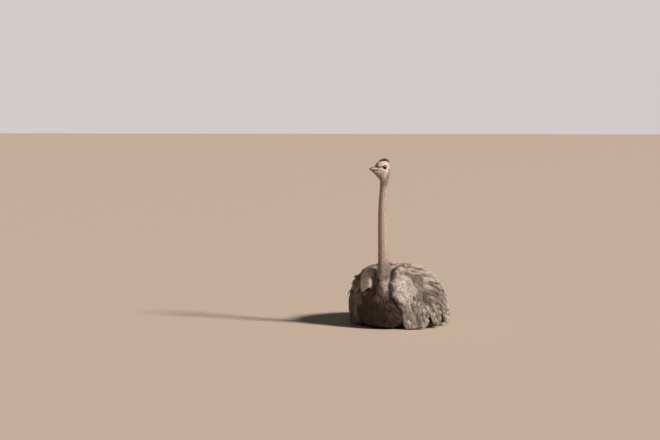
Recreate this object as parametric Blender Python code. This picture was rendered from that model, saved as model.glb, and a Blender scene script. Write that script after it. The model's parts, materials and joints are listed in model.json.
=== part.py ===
"""A hen ostrich sitting on the ground with her neck up and her wings drooped round her, life size.

The bird faces -Y and her left side is +X. The origin is on the floor, under the middle of the whole model.
Each solid reaches out to the tips of the coat. Head, neck, trunk and tail are one long sweep between a
throat-to-belly rail and a crown-to-back rail, parted by thin plane cuts. Legs, wings and eyes are cut clear
of what they touch.
"""

import math

import bmesh
import bpy
from mathutils import Matrix, Vector

# Driving dimensions, in metres. X is counted from the bird's middle plane, and Y from the foot of the neck
# towards the tail.
MIDDLE_X = 0.0179  # from the middle plane to the middle of the model, as her right wing is drawn in
MIDDLE_Y = 0.2995  # from the foot of the neck to the middle of the model
EYE_HEIGHT = 1.1463
EYE_Y = -0.031  # of the point midway between the eyes, before the head turns
NECK_TOP_Y = -0.021  # of the upright axis that the head turns about
HEAD_TURN = math.radians(30)  # to the bird's right
TURN_FROM, TURN_TO = 0.62, 1.04  # heights between which the neck takes up that turn
GAP = 0.0004  # between solids that meet
FLOOR_CLEAR = 0.003  # of plumes that hang to the floor and carry nothing

# Colour, roughness and metallic value of each finish.
FINISHES = {
    "bare_skin": ((0.50, 0.38, 0.30), 0.70, 0.0),
    "plumage": ((0.27, 0.22, 0.18), 0.90, 0.0),
    "plume": ((0.34, 0.29, 0.25), 0.90, 0.0),
    "horn": ((0.42, 0.33, 0.23), 0.45, 0.0),
    "leg_skin": ((0.37, 0.30, 0.25), 0.65, 0.0),
    "eye": ((0.03, 0.015, 0.01), 0.10, 0.0),
}


# ---------------------------------------------------------------------------------------------------------
# Shapes


def material(name):
    """The Principled material of one finish, made once."""
    found = bpy.data.materials.get(name)
    if found:
        return found
    made = bpy.data.materials.new(name)
    made.use_nodes = True
    colour, roughness, metallic = FINISHES[name]
    shader = made.node_tree.nodes["Principled BSDF"]
    shader.inputs["Base Color"].default_value = (*colour, 1)
    shader.inputs["Roughness"].default_value = roughness
    shader.inputs["Metallic"].default_value = metallic
    return made


def solid(name, points, faces, finish):
    """One object with its normals facing out."""
    mesh = bpy.data.meshes.new(name)
    shape = bmesh.new()
    corners = [shape.verts.new(p) for p in points]
    for face in faces:
        shape.faces.new([corners[i] for i in face])
    bmesh.ops.triangulate(shape, faces=shape.faces[:], quad_method="FIXED")  # so a grown copy has the same facets
    bmesh.ops.recalc_face_normals(shape, faces=shape.faces)
    shape.to_mesh(mesh)
    shape.free()
    mesh.shade_smooth()
    mesh.set_sharp_from_angle(angle=math.radians(50))
    mesh.materials.append(material(finish))
    obj = bpy.data.objects.new(name, mesh)
    bpy.context.scene.collection.objects.link(obj)
    return obj


def lofted(name, rings, finish, crescent=False):
    """A closed solid through rings of equal length. Each end is a flat fan, or a strip across a crescent."""
    n = len(rings[0])
    points = [p for ring in rings for p in ring]
    faces = []
    for i in range(len(rings) - 1):
        for j in range(n):
            a, b = i * n + j, i * n + (j + 1) % n
            faces.append((a, b, b + n, a + n))
    for ring, first in ((rings[0], 0), (rings[-1], (len(rings) - 1) * n)):
        if crescent:
            faces += [(first + j, first + j + 1, first + n - 2 - j, first + n - 1 - j) for j in range(n // 2 - 1)]
            continue
        middle = sum((Vector(p) for p in ring), Vector()) / n
        points.append(tuple(middle))
        hub = len(points) - 1
        faces += [(hub, first + j, first + (j + 1) % n) for j in range(n)]
    return solid(name, points, faces, finish)


def curve_through(values, t):
    """A Catmull-Rom curve through equally spaced rows of numbers, at t from 0 to the last row."""
    last = len(values) - 1
    i = min(int(t), last - 1)
    u = t - i
    p0, p1, p2, p3 = (values[min(max(k, 0), last)] for k in (i - 1, i, i + 1, i + 2))
    return [
        0.5 * (2 * b + (c - a) * u + (2 * a - 5 * b + 4 * c - d) * u * u + (3 * b - a - 3 * c + d) * u ** 3)
        for a, b, c, d in zip(p0, p1, p2, p3)
    ]


def signed_power(x, power):
    return math.copysign(abs(x) ** power, x)


def smooth_step(x):
    x = min(max(x, 0.0), 1.0)
    return x * x * (3 - 2 * x)


def spread(first, last, count):
    return [first + (last - first) * i / (count - 1) for i in range(count)]


def swollen(obj, name, by=GAP * 1.25):
    """A hidden cutter: the same shape before any cut, grown outwards all over."""
    mesh = obj.data.copy()
    shape = bmesh.new()
    shape.from_mesh(mesh)
    shape.normal_update()
    moves = [(v, v.normal * by) for v in shape.verts]
    for v, move in moves:
        v.co += move
    shape.to_mesh(mesh)
    shape.free()
    cutter = bpy.data.objects.new(name, mesh)
    cutter.hide_render = True
    cutter.display_type = "WIRE"
    bpy.context.scene.collection.objects.link(cutter)
    return cutter


def cut(obj, *cutters):
    """Cuts hidden cutters from an object."""
    for cutter in cutters:
        modifier = obj.modifiers.new("clear_of_" + cutter.name, "BOOLEAN")
        modifier.operation = "DIFFERENCE"
        modifier.object = cutter
        modifier.solver = "EXACT"


# ---------------------------------------------------------------------------------------------------------
# The long sweep: bill base, head, neck, trunk, tail


def at_head(forward, up):
    """(y, z) of a point of the head, from the point midway between the eyes."""
    return EYE_Y - forward, EYE_HEIGHT + up


# Each station is a ring across the body: its end on the throat, breast and belly rail, its end on the crown
# and back rail, its half width, how square it is (2 is an ellipse) and how far its widest part lies towards
# the back rail (-1 to 1). The first rings lie in the throat's skin, between the arms of the lower bill.
STATIONS = [
    (*at_head(0.0935, -0.0240), *at_head(0.0900, -0.0180), 0.0060, 2.0, 0.00),  # 0 under the bill
    (*at_head(0.0815, -0.0330), *at_head(0.0750, -0.0140), 0.0130, 2.1, 0.05),
    (*at_head(0.0675, -0.0430), *at_head(0.0600, -0.0060), 0.0185, 2.2, 0.10),
    (*at_head(0.0530, -0.0560), *at_head(0.0575, 0.0110), 0.0240, 2.3, 0.12),  # 3 foot of the bill
    (*at_head(0.0410, -0.0670), *at_head(0.0510, 0.0300), 0.0285, 2.3, 0.16),
    (*at_head(0.0315, -0.0755), *at_head(0.0370, 0.0480), 0.0330, 2.3, 0.18),
    (*at_head(0.0255, -0.0820), *at_head(0.0130, 0.0595), 0.0365, 2.3, 0.20),  # 6 the eyes
    (*at_head(0.0215, -0.0870), *at_head(-0.0140, 0.0625), 0.0375, 2.3, 0.20),
    (*at_head(0.0195, -0.0915), *at_head(-0.0365, 0.0565), 0.0370, 2.3, 0.15),  # 8 back of the crown
    (*at_head(0.0185, -0.0955), *at_head(-0.0500, 0.0410), 0.0360, 2.2, 0.08),
    (*at_head(0.0180, -0.1000), *at_head(-0.0590, 0.0180), 0.0350, 2.1, 0.02),
    (*at_head(0.0180, -0.1050), *at_head(-0.0625, -0.0100), 0.0345, 2.0, -0.02),
    (*at_head(0.0185, -0.1110), *at_head(-0.0610, -0.0380), 0.0330, 2.0, -0.02),
    (*at_head(0.0190, -0.1190), *at_head(-0.0540, -0.0700), 0.0308, 2.0, 0.00),  # 13 the nape
    (-0.0510, 0.995, 0.0100, 1.032, 0.0297, 2.0, 0.0),
    (-0.0600, 0.905, 0.0055, 0.923, 0.0318, 2.0, 0.0),
    (-0.0675, 0.800, -0.0010, 0.809, 0.0332, 2.0, 0.0),
    (-0.0720, 0.690, -0.0040, 0.695, 0.0342, 2.0, 0.0),  # 17 middle of the neck
    (-0.0715, 0.590, 0.0020, 0.598, 0.0358, 2.0, 0.0),
    (-0.0690, 0.508, 0.0150, 0.524, 0.0395, 2.0, 0.0),
    (-0.0740, 0.430, 0.0360, 0.470, 0.0455, 2.0, 0.0),
    (-0.0880, 0.350, 0.0660, 0.424, 0.0600, 2.0, 0.0),  # 21 foot of the neck
    (-0.1120, 0.262, 0.1060, 0.418, 0.0980, 2.1, -0.05),
    (-0.1330, 0.172, 0.1520, 0.426, 0.1400, 2.2, -0.12),
    (-0.1400, 0.088, 0.2000, 0.434, 0.1740, 2.3, -0.20),  # 24 breast
    (-0.1180, 0.018, 0.2450, 0.437, 0.1950, 2.4, -0.24),
    (-0.0560, -0.007, 0.2900, 0.438, 0.2020, 2.4, -0.22),
    (0.0350, -0.010, 0.3350, 0.434, 0.2030, 2.4, -0.18),  # 27 belly
    (0.1380, -0.010, 0.3850, 0.426, 0.2000, 2.4, -0.15),
    (0.2500, -0.009, 0.4380, 0.411, 0.1900, 2.3, -0.12),
    (0.3600, 0.006, 0.4920, 0.388, 0.1730, 2.2, -0.06),
    (0.4550, 0.042, 0.5450, 0.354, 0.1500, 2.1, 0.0),  # 31 rump
    (0.5200, 0.055, 0.6050, 0.308, 0.1350, 2.1, 0.0),
    (0.5640, 0.040, 0.6650, 0.242, 0.1280, 2.2, 0.0),  # 33 tail
    (0.6040, 0.022, 0.7100, 0.162, 0.1180, 2.3, 0.0),
    (0.6360, 0.008, 0.7360, 0.086, 0.1020, 2.3, 0.0),
    (0.6550, 0.004, 0.7380, 0.034, 0.0760, 2.2, 0.0),  # 36 tips of the tail
]
HEAD_START, HEAD_END, UPPER_NECK_END, MIDDLE_NECK_END = 0, 13.4, 16, 18.5
NECK_FOOT, RUMP, TAIL_END = 21, 31, 36


def turned(point):
    """The head's turn to the side, taken up along the neck, about the neck's upright axis."""
    x, y, z = point
    angle = -HEAD_TURN * smooth_step((z - TURN_FROM) / (TURN_TO - TURN_FROM))
    across, along = x, y - NECK_TOP_Y
    c, s = math.cos(angle), math.sin(angle)
    return placed((across * c - along * s, NECK_TOP_Y + across * s + along * c, z))


def placed(point):
    """A point counted from the bird's middle plane and the foot of her neck, in the model's own frame."""
    return Vector((point[0] - MIDDLE_X, point[1] - MIDDLE_Y, point[2]))


def sweep_ring(t, sides, shift=0.0):
    """One ring of the sweep, moved by shift along its own axis towards the tail."""
    fy, fz, by, bz, width, square, bias = curve_through(STATIONS, t)
    front, back = Vector((0, fy, fz)), Vector((0, by, bz))
    middle, chord = (front + back) / 2, (back - front) / 2
    onward = Vector((0, chord.z, -chord.y)).normalized() * shift
    turn_height = middle.z
    ring = []
    for k in range(sides):
        angle = math.tau * (k + 0.5) / sides
        along = signed_power(math.cos(angle), 2 / square)
        aside = signed_power(math.sin(angle), 2 / square)
        point = middle + chord * along + onward
        point.x = width * aside * (1 + bias * along)
        spun = turned((point.x, point.y, turn_height))
        ring.append((spun.x, spun.y, max(point.z, 0.0)))
    return ring


def swept(name, first, last, rings, sides, finish, overlong=0.0):
    """The stretch of the sweep from one station to another, its ends drawn in by half a gap, or overlong."""
    made = [sweep_ring(t, sides) for t in spread(first, last, rings)]
    made[0] = sweep_ring(first, sides, GAP / 2)
    made[-1] = sweep_ring(last, sides, -GAP / 2)
    if overlong:
        made.insert(0, sweep_ring(first - overlong, sides))
        made.append(sweep_ring(last + overlong, sides))
    return lofted(name, made, finish)


# ---------------------------------------------------------------------------------------------------------
# Bill and eyes

# Down the bill: distance forward of the eyes, gape height, rise to the ridge, drop to the chin, half width.
BILL = [
    (0.0470, -0.0165, 0.0245, 0.0150, 0.0240),
    (0.0600, -0.0150, 0.0225, 0.0130, 0.0212),
    (0.0750, -0.0130, 0.0195, 0.0112, 0.0190),
    (0.0880, -0.0110, 0.0165, 0.0098, 0.0170),
    (0.0990, -0.0095, 0.0125, 0.0082, 0.0143),
    (0.1070, -0.0085, 0.0080, 0.0060, 0.0100),
    (0.1105, -0.0080, 0.0040, 0.0034, 0.0050),
]
BILL_RINGS, BILL_SIDES = 10, 9
BILL_GAP = 0.00025  # each half stands this far off the gape line


def bill_rings(upward, gape_gap):
    """Half rings down the bill, above or below the gape line."""
    rings = []
    last = len(BILL) - 1
    for t in spread(0, last, BILL_RINGS):
        forward, gape, rise, drop, width = curve_through(BILL, t)
        height = rise if upward else -drop
        edge = gape + (gape_gap if upward else -gape_gap)
        ring = []
        for angle in spread(0, math.pi, BILL_SIDES):
            aside = signed_power(math.cos(angle), 0.85)
            away = max(math.sin(angle), 0.0) ** 0.85
            y, z = at_head(forward, edge + height * away)
            ring.append(turned((width * aside, y, z)))
        rings.append(ring)
    return rings


def bill_half(name, upward):
    """The upper or lower half of the bill, flat along the gape."""
    return lofted(name, bill_rings(upward, BILL_GAP), "horn")


def whole_bill():
    """A hidden cutter round both halves."""
    pairs = zip(bill_rings(True, 0.0), bill_rings(False, 0.0))
    both = lofted("plain_bill", [upper + lower[-2:0:-1] for upper, lower in pairs], "horn")
    cutter = swollen(both, "cut_bill")
    bpy.data.objects.remove(both)
    return cutter


EYE_ASIDE, EYE_FORWARD, EYE_UP = 0.0255, 0.004, 0.003  # of an eyeball's middle
EYE_SIZE = Vector((0.0150, 0.0190, 0.0180))  # half sizes across, along and up
EYE_RINGS, EYE_SIDES = 7, 12


def eyeball(name, side):
    """A flattened ball, set in the side of the head."""
    centre = Vector((side * EYE_ASIDE, EYE_Y - EYE_FORWARD, EYE_HEIGHT + EYE_UP))
    rings = []
    for latitude in spread(-math.pi / 2 + 0.22, math.pi / 2 - 0.22, EYE_RINGS):
        ring = []
        for k in range(EYE_SIDES):
            angle = math.tau * k / EYE_SIDES
            reach = Vector((
                math.sin(latitude),
                math.cos(latitude) * math.cos(angle),
                math.cos(latitude) * math.sin(angle),
            ))
            ring.append(turned(centre + reach * EYE_SIZE))
        rings.append(ring)
    return lofted(name, rings, "eye")


# ---------------------------------------------------------------------------------------------------------
# Legs, folded under her: the hock behind, the shank flat on the floor and the toes forward

HOCK = Vector((0.152, 0.490, 0.030))
TOE_JOINT = Vector((0.118, 0.135, 0.026))
KNEE = Vector((0.158, 0.055, 0.205))
# Down each length: share of the way, half width, half height.
DRUMSTICK = [(0.0, 0.030, 0.034), (0.07, 0.056, 0.064), (0.25, 0.070, 0.080), (0.5, 0.058, 0.066),
             (0.75, 0.038, 0.042), (0.92, 0.029, 0.031), (1.0, 0.024, 0.024)]
SHANK = [(-0.05, 0.016, 0.016), (-0.02, 0.026, 0.027), (0.05, 0.029, 0.030), (0.14, 0.021, 0.023),
         (0.5, 0.0165, 0.019), (0.85, 0.018, 0.019), (0.97, 0.023, 0.022), (1.0, 0.022, 0.021)]
BIG_TOE = [(0.0, 0.0215, 0.021), (0.18, 0.0235, 0.022), (0.34, 0.0195, 0.019), (0.5, 0.0215, 0.020),
           (0.66, 0.0180, 0.017), (0.82, 0.0190, 0.017), (0.95, 0.0140, 0.013), (1.0, 0.0085, 0.0085)]
SMALL_TOE = [(0.0, 0.0130, 0.013), (0.3, 0.0135, 0.013), (0.5, 0.0115, 0.011), (0.72, 0.0125, 0.011),
             (0.93, 0.0095, 0.009), (1.0, 0.0055, 0.0055)]
CLAW = [(0.0, 0.0088, 0.0085), (0.35, 0.0082, 0.0080), (0.7, 0.0055, 0.0052), (1.0, 0.0018, 0.0016)]
TOE_LENGTH, SMALL_TOE_LENGTH, CLAW_LENGTH = 0.135, 0.092, 0.034
TOE_OUT, SMALL_TOE_OUT = math.radians(3), math.radians(32)  # each toe's splay from straight ahead
LEG_SIDES = 8


def limb(name, start, end, profile, side, finish, sides=LEG_SIDES, rings=8):
    """A tapered length from start to end, flattened where it meets the floor."""
    start, end = (Vector((p.x * side, p.y, p.z)) for p in (start, end))
    axis = end - start
    aside = axis.cross(Vector((0, 0, 1))).normalized()
    above = aside.cross(axis).normalized()
    made = []
    for t in spread(0, len(profile) - 1, rings):
        share, half_width, half_height = curve_through(profile, t)
        ring = []
        for k in range(sides):
            angle = math.tau * (k + 0.5) / sides
            point = start + axis * share + aside * half_width * math.cos(angle)
            point += above * half_height * math.sin(angle)
            point.z = max(point.z, 0.0)
            ring.append(placed(point))
        made.append(ring)
    return lofted(name, made, finish)


def leg(side, word):
    """One leg's pieces, from the foot up, so that each is cut clear of the one below."""
    toe_way = Vector((math.sin(TOE_OUT), -math.cos(TOE_OUT), -0.035))
    toe_tip = TOE_JOINT + toe_way * TOE_LENGTH
    small_way = Vector((math.sin(SMALL_TOE_OUT), -math.cos(SMALL_TOE_OUT), -0.04))
    small_start = TOE_JOINT + Vector((0.010, 0.006, -0.010))
    claw_start = toe_tip + toe_way * GAP + Vector((0, 0, -0.0005))
    shank = limb("shank_" + word, HOCK, TOE_JOINT, SHANK, side, "leg_skin", rings=10)
    big = limb("big_toe_" + word, TOE_JOINT, toe_tip, BIG_TOE, side, "leg_skin", rings=10)
    small = limb(
        "small_toe_" + word, small_start, small_start + small_way * SMALL_TOE_LENGTH, SMALL_TOE, side, "leg_skin"
    )
    claw = limb(
        "claw_" + word, claw_start, claw_start + toe_way * CLAW_LENGTH, CLAW, side, "horn", sides=8, rings=5
    )
    drumstick = limb("drumstick_" + word, KNEE, HOCK + Vector((0, -0.012, 0.030)), DRUMSTICK, side, "leg_skin")
    clear_shank = swollen(shank, "cut_shank_" + word)
    cut(big, clear_shank)
    clear_toe = swollen(big, "cut_big_toe_" + word)
    cut(small, clear_toe, clear_shank)
    cut(claw, clear_toe)
    cut(drumstick, clear_shank)
    clear_small = swollen(small, "cut_small_toe_" + word)
    clear_claw = swollen(claw, "cut_claw_" + word)
    clear_drumstick = swollen(drumstick, "cut_drumstick_" + word)
    return [clear_shank, clear_toe, clear_small, clear_claw, clear_drumstick]


# ---------------------------------------------------------------------------------------------------------
# Wings: a thick drooped shell each side, its plumes hanging to the floor

# From the front edge to the rear tips: Y, outer half width at the floor, height of the dome, how square the
# dome is, how far the wing's top edge lies from the midline, thickness.
WING = [
    (-0.094, 0.192, 0.300, 2.1, 0.092, 0.022),
    (-0.070, 0.238, 0.350, 2.3, 0.086, 0.045),
    (-0.020, 0.300, 0.402, 2.5, 0.080, 0.080),
    (0.060, 0.353, 0.430, 2.6, 0.078, 0.105),
    (0.150, 0.377, 0.438, 2.5, 0.072, 0.115),
    (0.245, 0.378, 0.438, 2.4, 0.070, 0.115),
    (0.340, 0.361, 0.428, 2.3, 0.070, 0.110),
    (0.430, 0.333, 0.401, 2.2, 0.075, 0.095),
    (0.508, 0.298, 0.360, 2.2, 0.098, 0.075),
    (0.572, 0.256, 0.300, 2.2, 0.130, 0.050),
    (0.605, 0.222, 0.232, 2.2, 0.150, 0.022),
]
WING_RINGS, WING_SIDES = 24, 9
LOBES, LOBE_DEPTH = 6, 0.026  # plume tips along the hem
ROWS, ROW_STEP = 5, 0.006  # overlapping rows of plumes, and the ledge at the end of each
FRONT_LEAN = 0.045  # how much further back the front edge stands at the floor than at the shoulder
TUCK = {1: 0.0, -1: 0.12}  # share of its width that each wing, left then right, draws in at the floor


def dome_point(half_width, height, square, start, share):
    """A point on the dome's side, from its top edge (share 0) to the floor (share 1)."""
    from_angle = math.asin(min(start / half_width, 1.0) ** (square / 2))
    angle = from_angle + (math.pi / 2 - from_angle) * share
    return half_width * math.sin(angle) ** (2 / square), height * math.cos(angle) ** (2 / square)


def wing(side, word):
    """One drooped wing, before it is cut clear of what it covers."""
    rings = []
    last = len(WING) - 1
    for i, t in enumerate(spread(0, last, WING_RINGS)):
        y, half_width, height, square, start, thick = curve_through(WING, t)
        run = i / (WING_RINGS - 1)
        hem = FLOOR_CLEAR + LOBE_DEPTH * abs(math.sin(math.pi * LOBES * run)) ** 1.5
        outer, inner = [], []
        for share in spread(0, 1, WING_SIDES):
            x, z = dome_point(half_width, height, square, start, share)
            along_row = (share * ROWS + 0.5 * math.sin(math.pi * LOBES * run)) % 1.0
            ledge = ROW_STEP * (along_row - 1) * math.sin(math.pi * share)
            outward = Vector((x / half_width, 0, z / height)).normalized()
            outer.append((x + ledge * outward.x, z + ledge * outward.z))
            inner.append(dome_point(
                half_width - thick, height - thick, square, min(start, half_width - thick) * 0.9, share
            ))
        ring = []
        for x, z in outer + inner[::-1]:
            low = smooth_step(1 - z / height)
            lean = FRONT_LEAN * low * (1 - run) ** 3
            tuck = 1 - TUCK[side] * smooth_step(1 - z / (0.7 * height))
            ring.append(placed((side * x * tuck, y + lean, hem + z * (1 - hem / height))))
        rings.append(ring)
    return lofted("wing_" + word, rings, "plume", crescent=True)


# ---------------------------------------------------------------------------------------------------------


def clear_scene():
    for obj in list(bpy.data.objects):
        bpy.data.objects.remove(obj)


def build():
    clear_scene()
    head = swept("head", HEAD_START, HEAD_END, 22, 20, "bare_skin")
    swept("neck_upper", HEAD_END, UPPER_NECK_END, 8, 16, "bare_skin")
    swept("neck_middle", UPPER_NECK_END, MIDDLE_NECK_END, 7, 16, "bare_skin")
    swept("neck_lower", MIDDLE_NECK_END, NECK_FOOT, 7, 18, "bare_skin")
    trunk = swept("trunk", NECK_FOOT, RUMP, 18, 22, "plumage")
    tail = swept("tail", RUMP, TAIL_END, 10, 16, "plume")
    bill_half("bill_upper", True)
    bill_half("bill_lower", False)
    cut(head, whole_bill())
    plain = swept("plain_trunk", NECK_FOOT, RUMP, 18, 22, "plumage", overlong=0.2)
    clear_trunk = swollen(plain, "cut_trunk")
    bpy.data.objects.remove(plain)
    clear_tail = swollen(tail, "cut_tail")
    for side, word in ((1, "left"), (-1, "right")):
        eye = eyeball("eye_" + word, side)
        cut(head, swollen(eye, "cut_eye_" + word))
        legs = leg(side, word)
        cut(trunk, *legs)
        cut(tail, *legs)
        cut(wing(side, word), clear_trunk, clear_tail, *legs)


build()
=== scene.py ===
"""The finished look of a hen ostrich sitting on the ground, life size, around her CAD solids.

One skin stands for the flesh. Eyes, bill and claws are pieces of their own. Plumes, down, bristles and lashes
are solid mesh: each is laid along the body by a short curve, and a Geometry Nodes tree bends a small shape of
many locks along that curve. Lengths are in metres. The bird faces -Y and her left side is +X.
"""

import json
import math

import bmesh
import bpy
import numpy as np
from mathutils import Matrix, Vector

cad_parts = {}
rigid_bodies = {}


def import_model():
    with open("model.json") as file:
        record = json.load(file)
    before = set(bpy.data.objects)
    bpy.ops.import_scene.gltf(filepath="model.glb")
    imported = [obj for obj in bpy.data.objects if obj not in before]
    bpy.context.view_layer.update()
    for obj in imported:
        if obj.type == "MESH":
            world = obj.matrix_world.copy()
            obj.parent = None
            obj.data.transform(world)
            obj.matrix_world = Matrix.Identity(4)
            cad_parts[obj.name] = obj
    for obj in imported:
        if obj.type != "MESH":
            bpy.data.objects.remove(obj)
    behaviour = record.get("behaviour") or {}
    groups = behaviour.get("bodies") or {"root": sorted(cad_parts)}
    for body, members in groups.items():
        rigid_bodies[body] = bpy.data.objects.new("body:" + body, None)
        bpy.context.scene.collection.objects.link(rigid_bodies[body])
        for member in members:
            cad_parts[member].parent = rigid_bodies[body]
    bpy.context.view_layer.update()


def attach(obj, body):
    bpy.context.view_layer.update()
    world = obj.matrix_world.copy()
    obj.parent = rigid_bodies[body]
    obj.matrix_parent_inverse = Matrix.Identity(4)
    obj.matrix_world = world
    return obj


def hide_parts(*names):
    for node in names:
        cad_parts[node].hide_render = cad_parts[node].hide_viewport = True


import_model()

# ---------------------------------------------------------------------------------------------------------
# Driving dimensions, as the solids have them. Y is counted from the foot of the neck, towards the tail.

MIDDLE_X, MIDDLE_Y = 0.0179, 0.2995
EYE_HEIGHT, EYE_Y, NECK_TOP_Y = 1.1463, -0.031, -0.021
HEAD_TURN = math.radians(30)
TURN_FROM, TURN_TO = 0.62, 1.04

# Rings of the long sweep: end on the throat-to-belly rail, end on the crown-to-back rail, half width, how
# square the ring is, how far its widest part lies towards the back rail. The head's ends are counted forward
# and up from the point midway between the eyes, and the rest are (y, z).
HEAD_STATIONS = [
    (0.0935, -0.0240, 0.0900, -0.0180, 0.0060, 2.0, 0.00),  # 0 under the bill
    (0.0815, -0.0330, 0.0750, -0.0140, 0.0130, 2.1, 0.05),
    (0.0675, -0.0430, 0.0600, -0.0060, 0.0185, 2.2, 0.10),
    (0.0530, -0.0560, 0.0575, 0.0110, 0.0240, 2.3, 0.12),  # 3 foot of the bill
    (0.0410, -0.0670, 0.0510, 0.0300, 0.0285, 2.3, 0.16),
    (0.0315, -0.0755, 0.0370, 0.0480, 0.0330, 2.3, 0.18),
    (0.0255, -0.0820, 0.0130, 0.0595, 0.0365, 2.3, 0.20),  # 6 the eyes
    (0.0215, -0.0870, -0.0140, 0.0625, 0.0375, 2.3, 0.20),
    (0.0195, -0.0915, -0.0365, 0.0565, 0.0370, 2.3, 0.15),  # 8 back of the crown
    (0.0185, -0.0955, -0.0500, 0.0410, 0.0360, 2.2, 0.08),
    (0.0180, -0.1000, -0.0590, 0.0180, 0.0350, 2.1, 0.02),
    (0.0180, -0.1050, -0.0625, -0.0100, 0.0345, 2.0, -0.02),
    (0.0185, -0.1110, -0.0610, -0.0380, 0.0330, 2.0, -0.02),
    (0.0190, -0.1190, -0.0540, -0.0700, 0.0308, 2.0, 0.00),  # 13 the nape
]
BODY_STATIONS = [
    (-0.0510, 0.995, 0.0100, 1.032, 0.0297, 2.0, 0.0),
    (-0.0600, 0.905, 0.0055, 0.923, 0.0318, 2.0, 0.0),
    (-0.0675, 0.800, -0.0010, 0.809, 0.0332, 2.0, 0.0),
    (-0.0720, 0.690, -0.0040, 0.695, 0.0342, 2.0, 0.0),  # 17 middle of the neck
    (-0.0715, 0.590, 0.0020, 0.598, 0.0358, 2.0, 0.0),
    (-0.0690, 0.508, 0.0150, 0.524, 0.0395, 2.0, 0.0),
    (-0.0740, 0.430, 0.0360, 0.470, 0.0455, 2.0, 0.0),
    (-0.0880, 0.350, 0.0660, 0.424, 0.0600, 2.0, 0.0),  # 21 foot of the neck
    (-0.1120, 0.262, 0.1060, 0.418, 0.0980, 2.1, -0.05),
    (-0.1330, 0.172, 0.1520, 0.426, 0.1400, 2.2, -0.12),
    (-0.1400, 0.088, 0.2000, 0.434, 0.1740, 2.3, -0.20),  # 24 breast
    (-0.1180, 0.018, 0.2450, 0.437, 0.1950, 2.4, -0.24),
    (-0.0560, -0.007, 0.2900, 0.438, 0.2020, 2.4, -0.22),
    (0.0350, -0.010, 0.3350, 0.434, 0.2030, 2.4, -0.18),  # 27 belly
    (0.1380, -0.010, 0.3850, 0.426, 0.2000, 2.4, -0.15),
    (0.2500, -0.009, 0.4380, 0.411, 0.1900, 2.3, -0.12),
    (0.3600, 0.006, 0.4920, 0.388, 0.1730, 2.2, -0.06),
    (0.4550, 0.042, 0.5450, 0.354, 0.1500, 2.1, 0.0),  # 31 rump
    (0.5200, 0.055, 0.6050, 0.308, 0.1350, 2.1, 0.0),
    (0.5640, 0.040, 0.6650, 0.242, 0.1280, 2.2, 0.0),  # 33 tail
    (0.6040, 0.022, 0.7100, 0.162, 0.1180, 2.3, 0.0),
    (0.6360, 0.008, 0.7360, 0.086, 0.1020, 2.3, 0.0),
    (0.6550, 0.004, 0.7380, 0.034, 0.0760, 2.2, 0.0),  # 36 tips of the tail
]
STATIONS = [(EYE_Y - throat, EYE_HEIGHT + throat_up, EYE_Y - crown, EYE_HEIGHT + crown_up, *girth)
            for throat, throat_up, crown, crown_up, *girth in HEAD_STATIONS] + BODY_STATIONS
EYES, NAPE, NECK_FOOT, TAIL_TIPS = 6, 13, 21, 36

# How far the skin lies under the tips of the coat: station, on the throat and belly, on the crown and back,
# on the sides.
COAT_DEPTHS = [
    (0.0, 0.0004, 0.0004, 0.0004),
    (3.0, 0.0006, 0.0008, 0.0006),
    (4.5, 0.0010, 0.0040, 0.0010),
    (5.5, 0.0010, 0.0095, 0.0012),
    (6.5, 0.0012, 0.0120, 0.0014),
    (8.0, 0.0015, 0.0115, 0.0020),
    (9.0, 0.0020, 0.0090, 0.0025),
    (10.0, 0.0020, 0.0060, 0.0028),
    (11.0, 0.0022, 0.0048, 0.0030),
    (13.0, 0.0026, 0.0036, 0.0030),
    (18.5, 0.0034, 0.0034, 0.0034),
    (19.5, 0.0060, 0.0060, 0.0060),
    (20.5, 0.0100, 0.0100, 0.0100),
    (21.3, 0.0160, 0.0160, 0.0160),
    (22.5, 0.0300, 0.0280, 0.0280),
    (24.0, 0.0380, 0.0400, 0.0360),
    (27.0, 0.0140, 0.0450, 0.0400),
    (30.0, 0.0220, 0.0500, 0.0450),
    (31.0, 0.0350, 0.0550, 0.0500),
    (32.0, 0.0500, 0.0600, 0.0560),
    (33.0, 0.0800, 0.0850, 0.0900),
    (33.5, 0.1000, 0.1000, 0.1150),
]
STUMP_END = 33.4  # where the skin's tail stump ends, inside the plumes

# Wings, from the front edge to the rear tips: Y, outer half width at the floor, height of the dome, how
# square it is, how far the top edge lies from the midline.
WING = [
    (-0.094, 0.192, 0.300, 2.1, 0.092),
    (-0.070, 0.238, 0.350, 2.3, 0.086),
    (-0.020, 0.300, 0.402, 2.5, 0.080),
    (0.060, 0.353, 0.430, 2.6, 0.078),
    (0.150, 0.377, 0.438, 2.5, 0.072),
    (0.245, 0.378, 0.438, 2.4, 0.070),
    (0.340, 0.361, 0.428, 2.3, 0.070),
    (0.430, 0.333, 0.401, 2.2, 0.075),
    (0.508, 0.298, 0.360, 2.2, 0.098),
    (0.572, 0.256, 0.300, 2.2, 0.130),
    (0.605, 0.222, 0.232, 2.2, 0.150),
]
FRONT_LEAN = 0.045  # how far the front edge leans back at the floor
HEM = 0.003  # height of the lowest tips
TUCK = {1: 0.0, -1: 0.12}  # share of its width that the left (1) and right (-1) wing draws in at the floor
TUCK_HEIGHT = 0.7  # share of the dome's height below which it draws in
SIDES = {"left": 1, "right": -1}

# ---------------------------------------------------------------------------------------------------------
# Colours and small helpers


def linear(hexed):
    """A linear RGBA colour from an sRGB hex value."""
    parts = [int(hexed[i:i + 2], 16) / 255 for i in (1, 3, 5)]
    return (*((c / 12.92 if c <= 0.04045 else ((c + 0.055) / 1.055) ** 2.4) for c in parts), 1.0)


def smooth_step(x):
    x = np.clip(x, 0.0, 1.0)
    return x * x * (3 - 2 * x)


def signed_power(x, power):
    return np.sign(x) * np.abs(x) ** power


def hump(x, middle, reach):
    """1 at the middle, falling off over the reach either side."""
    return np.exp(-((x - middle) / reach) ** 2)


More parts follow.
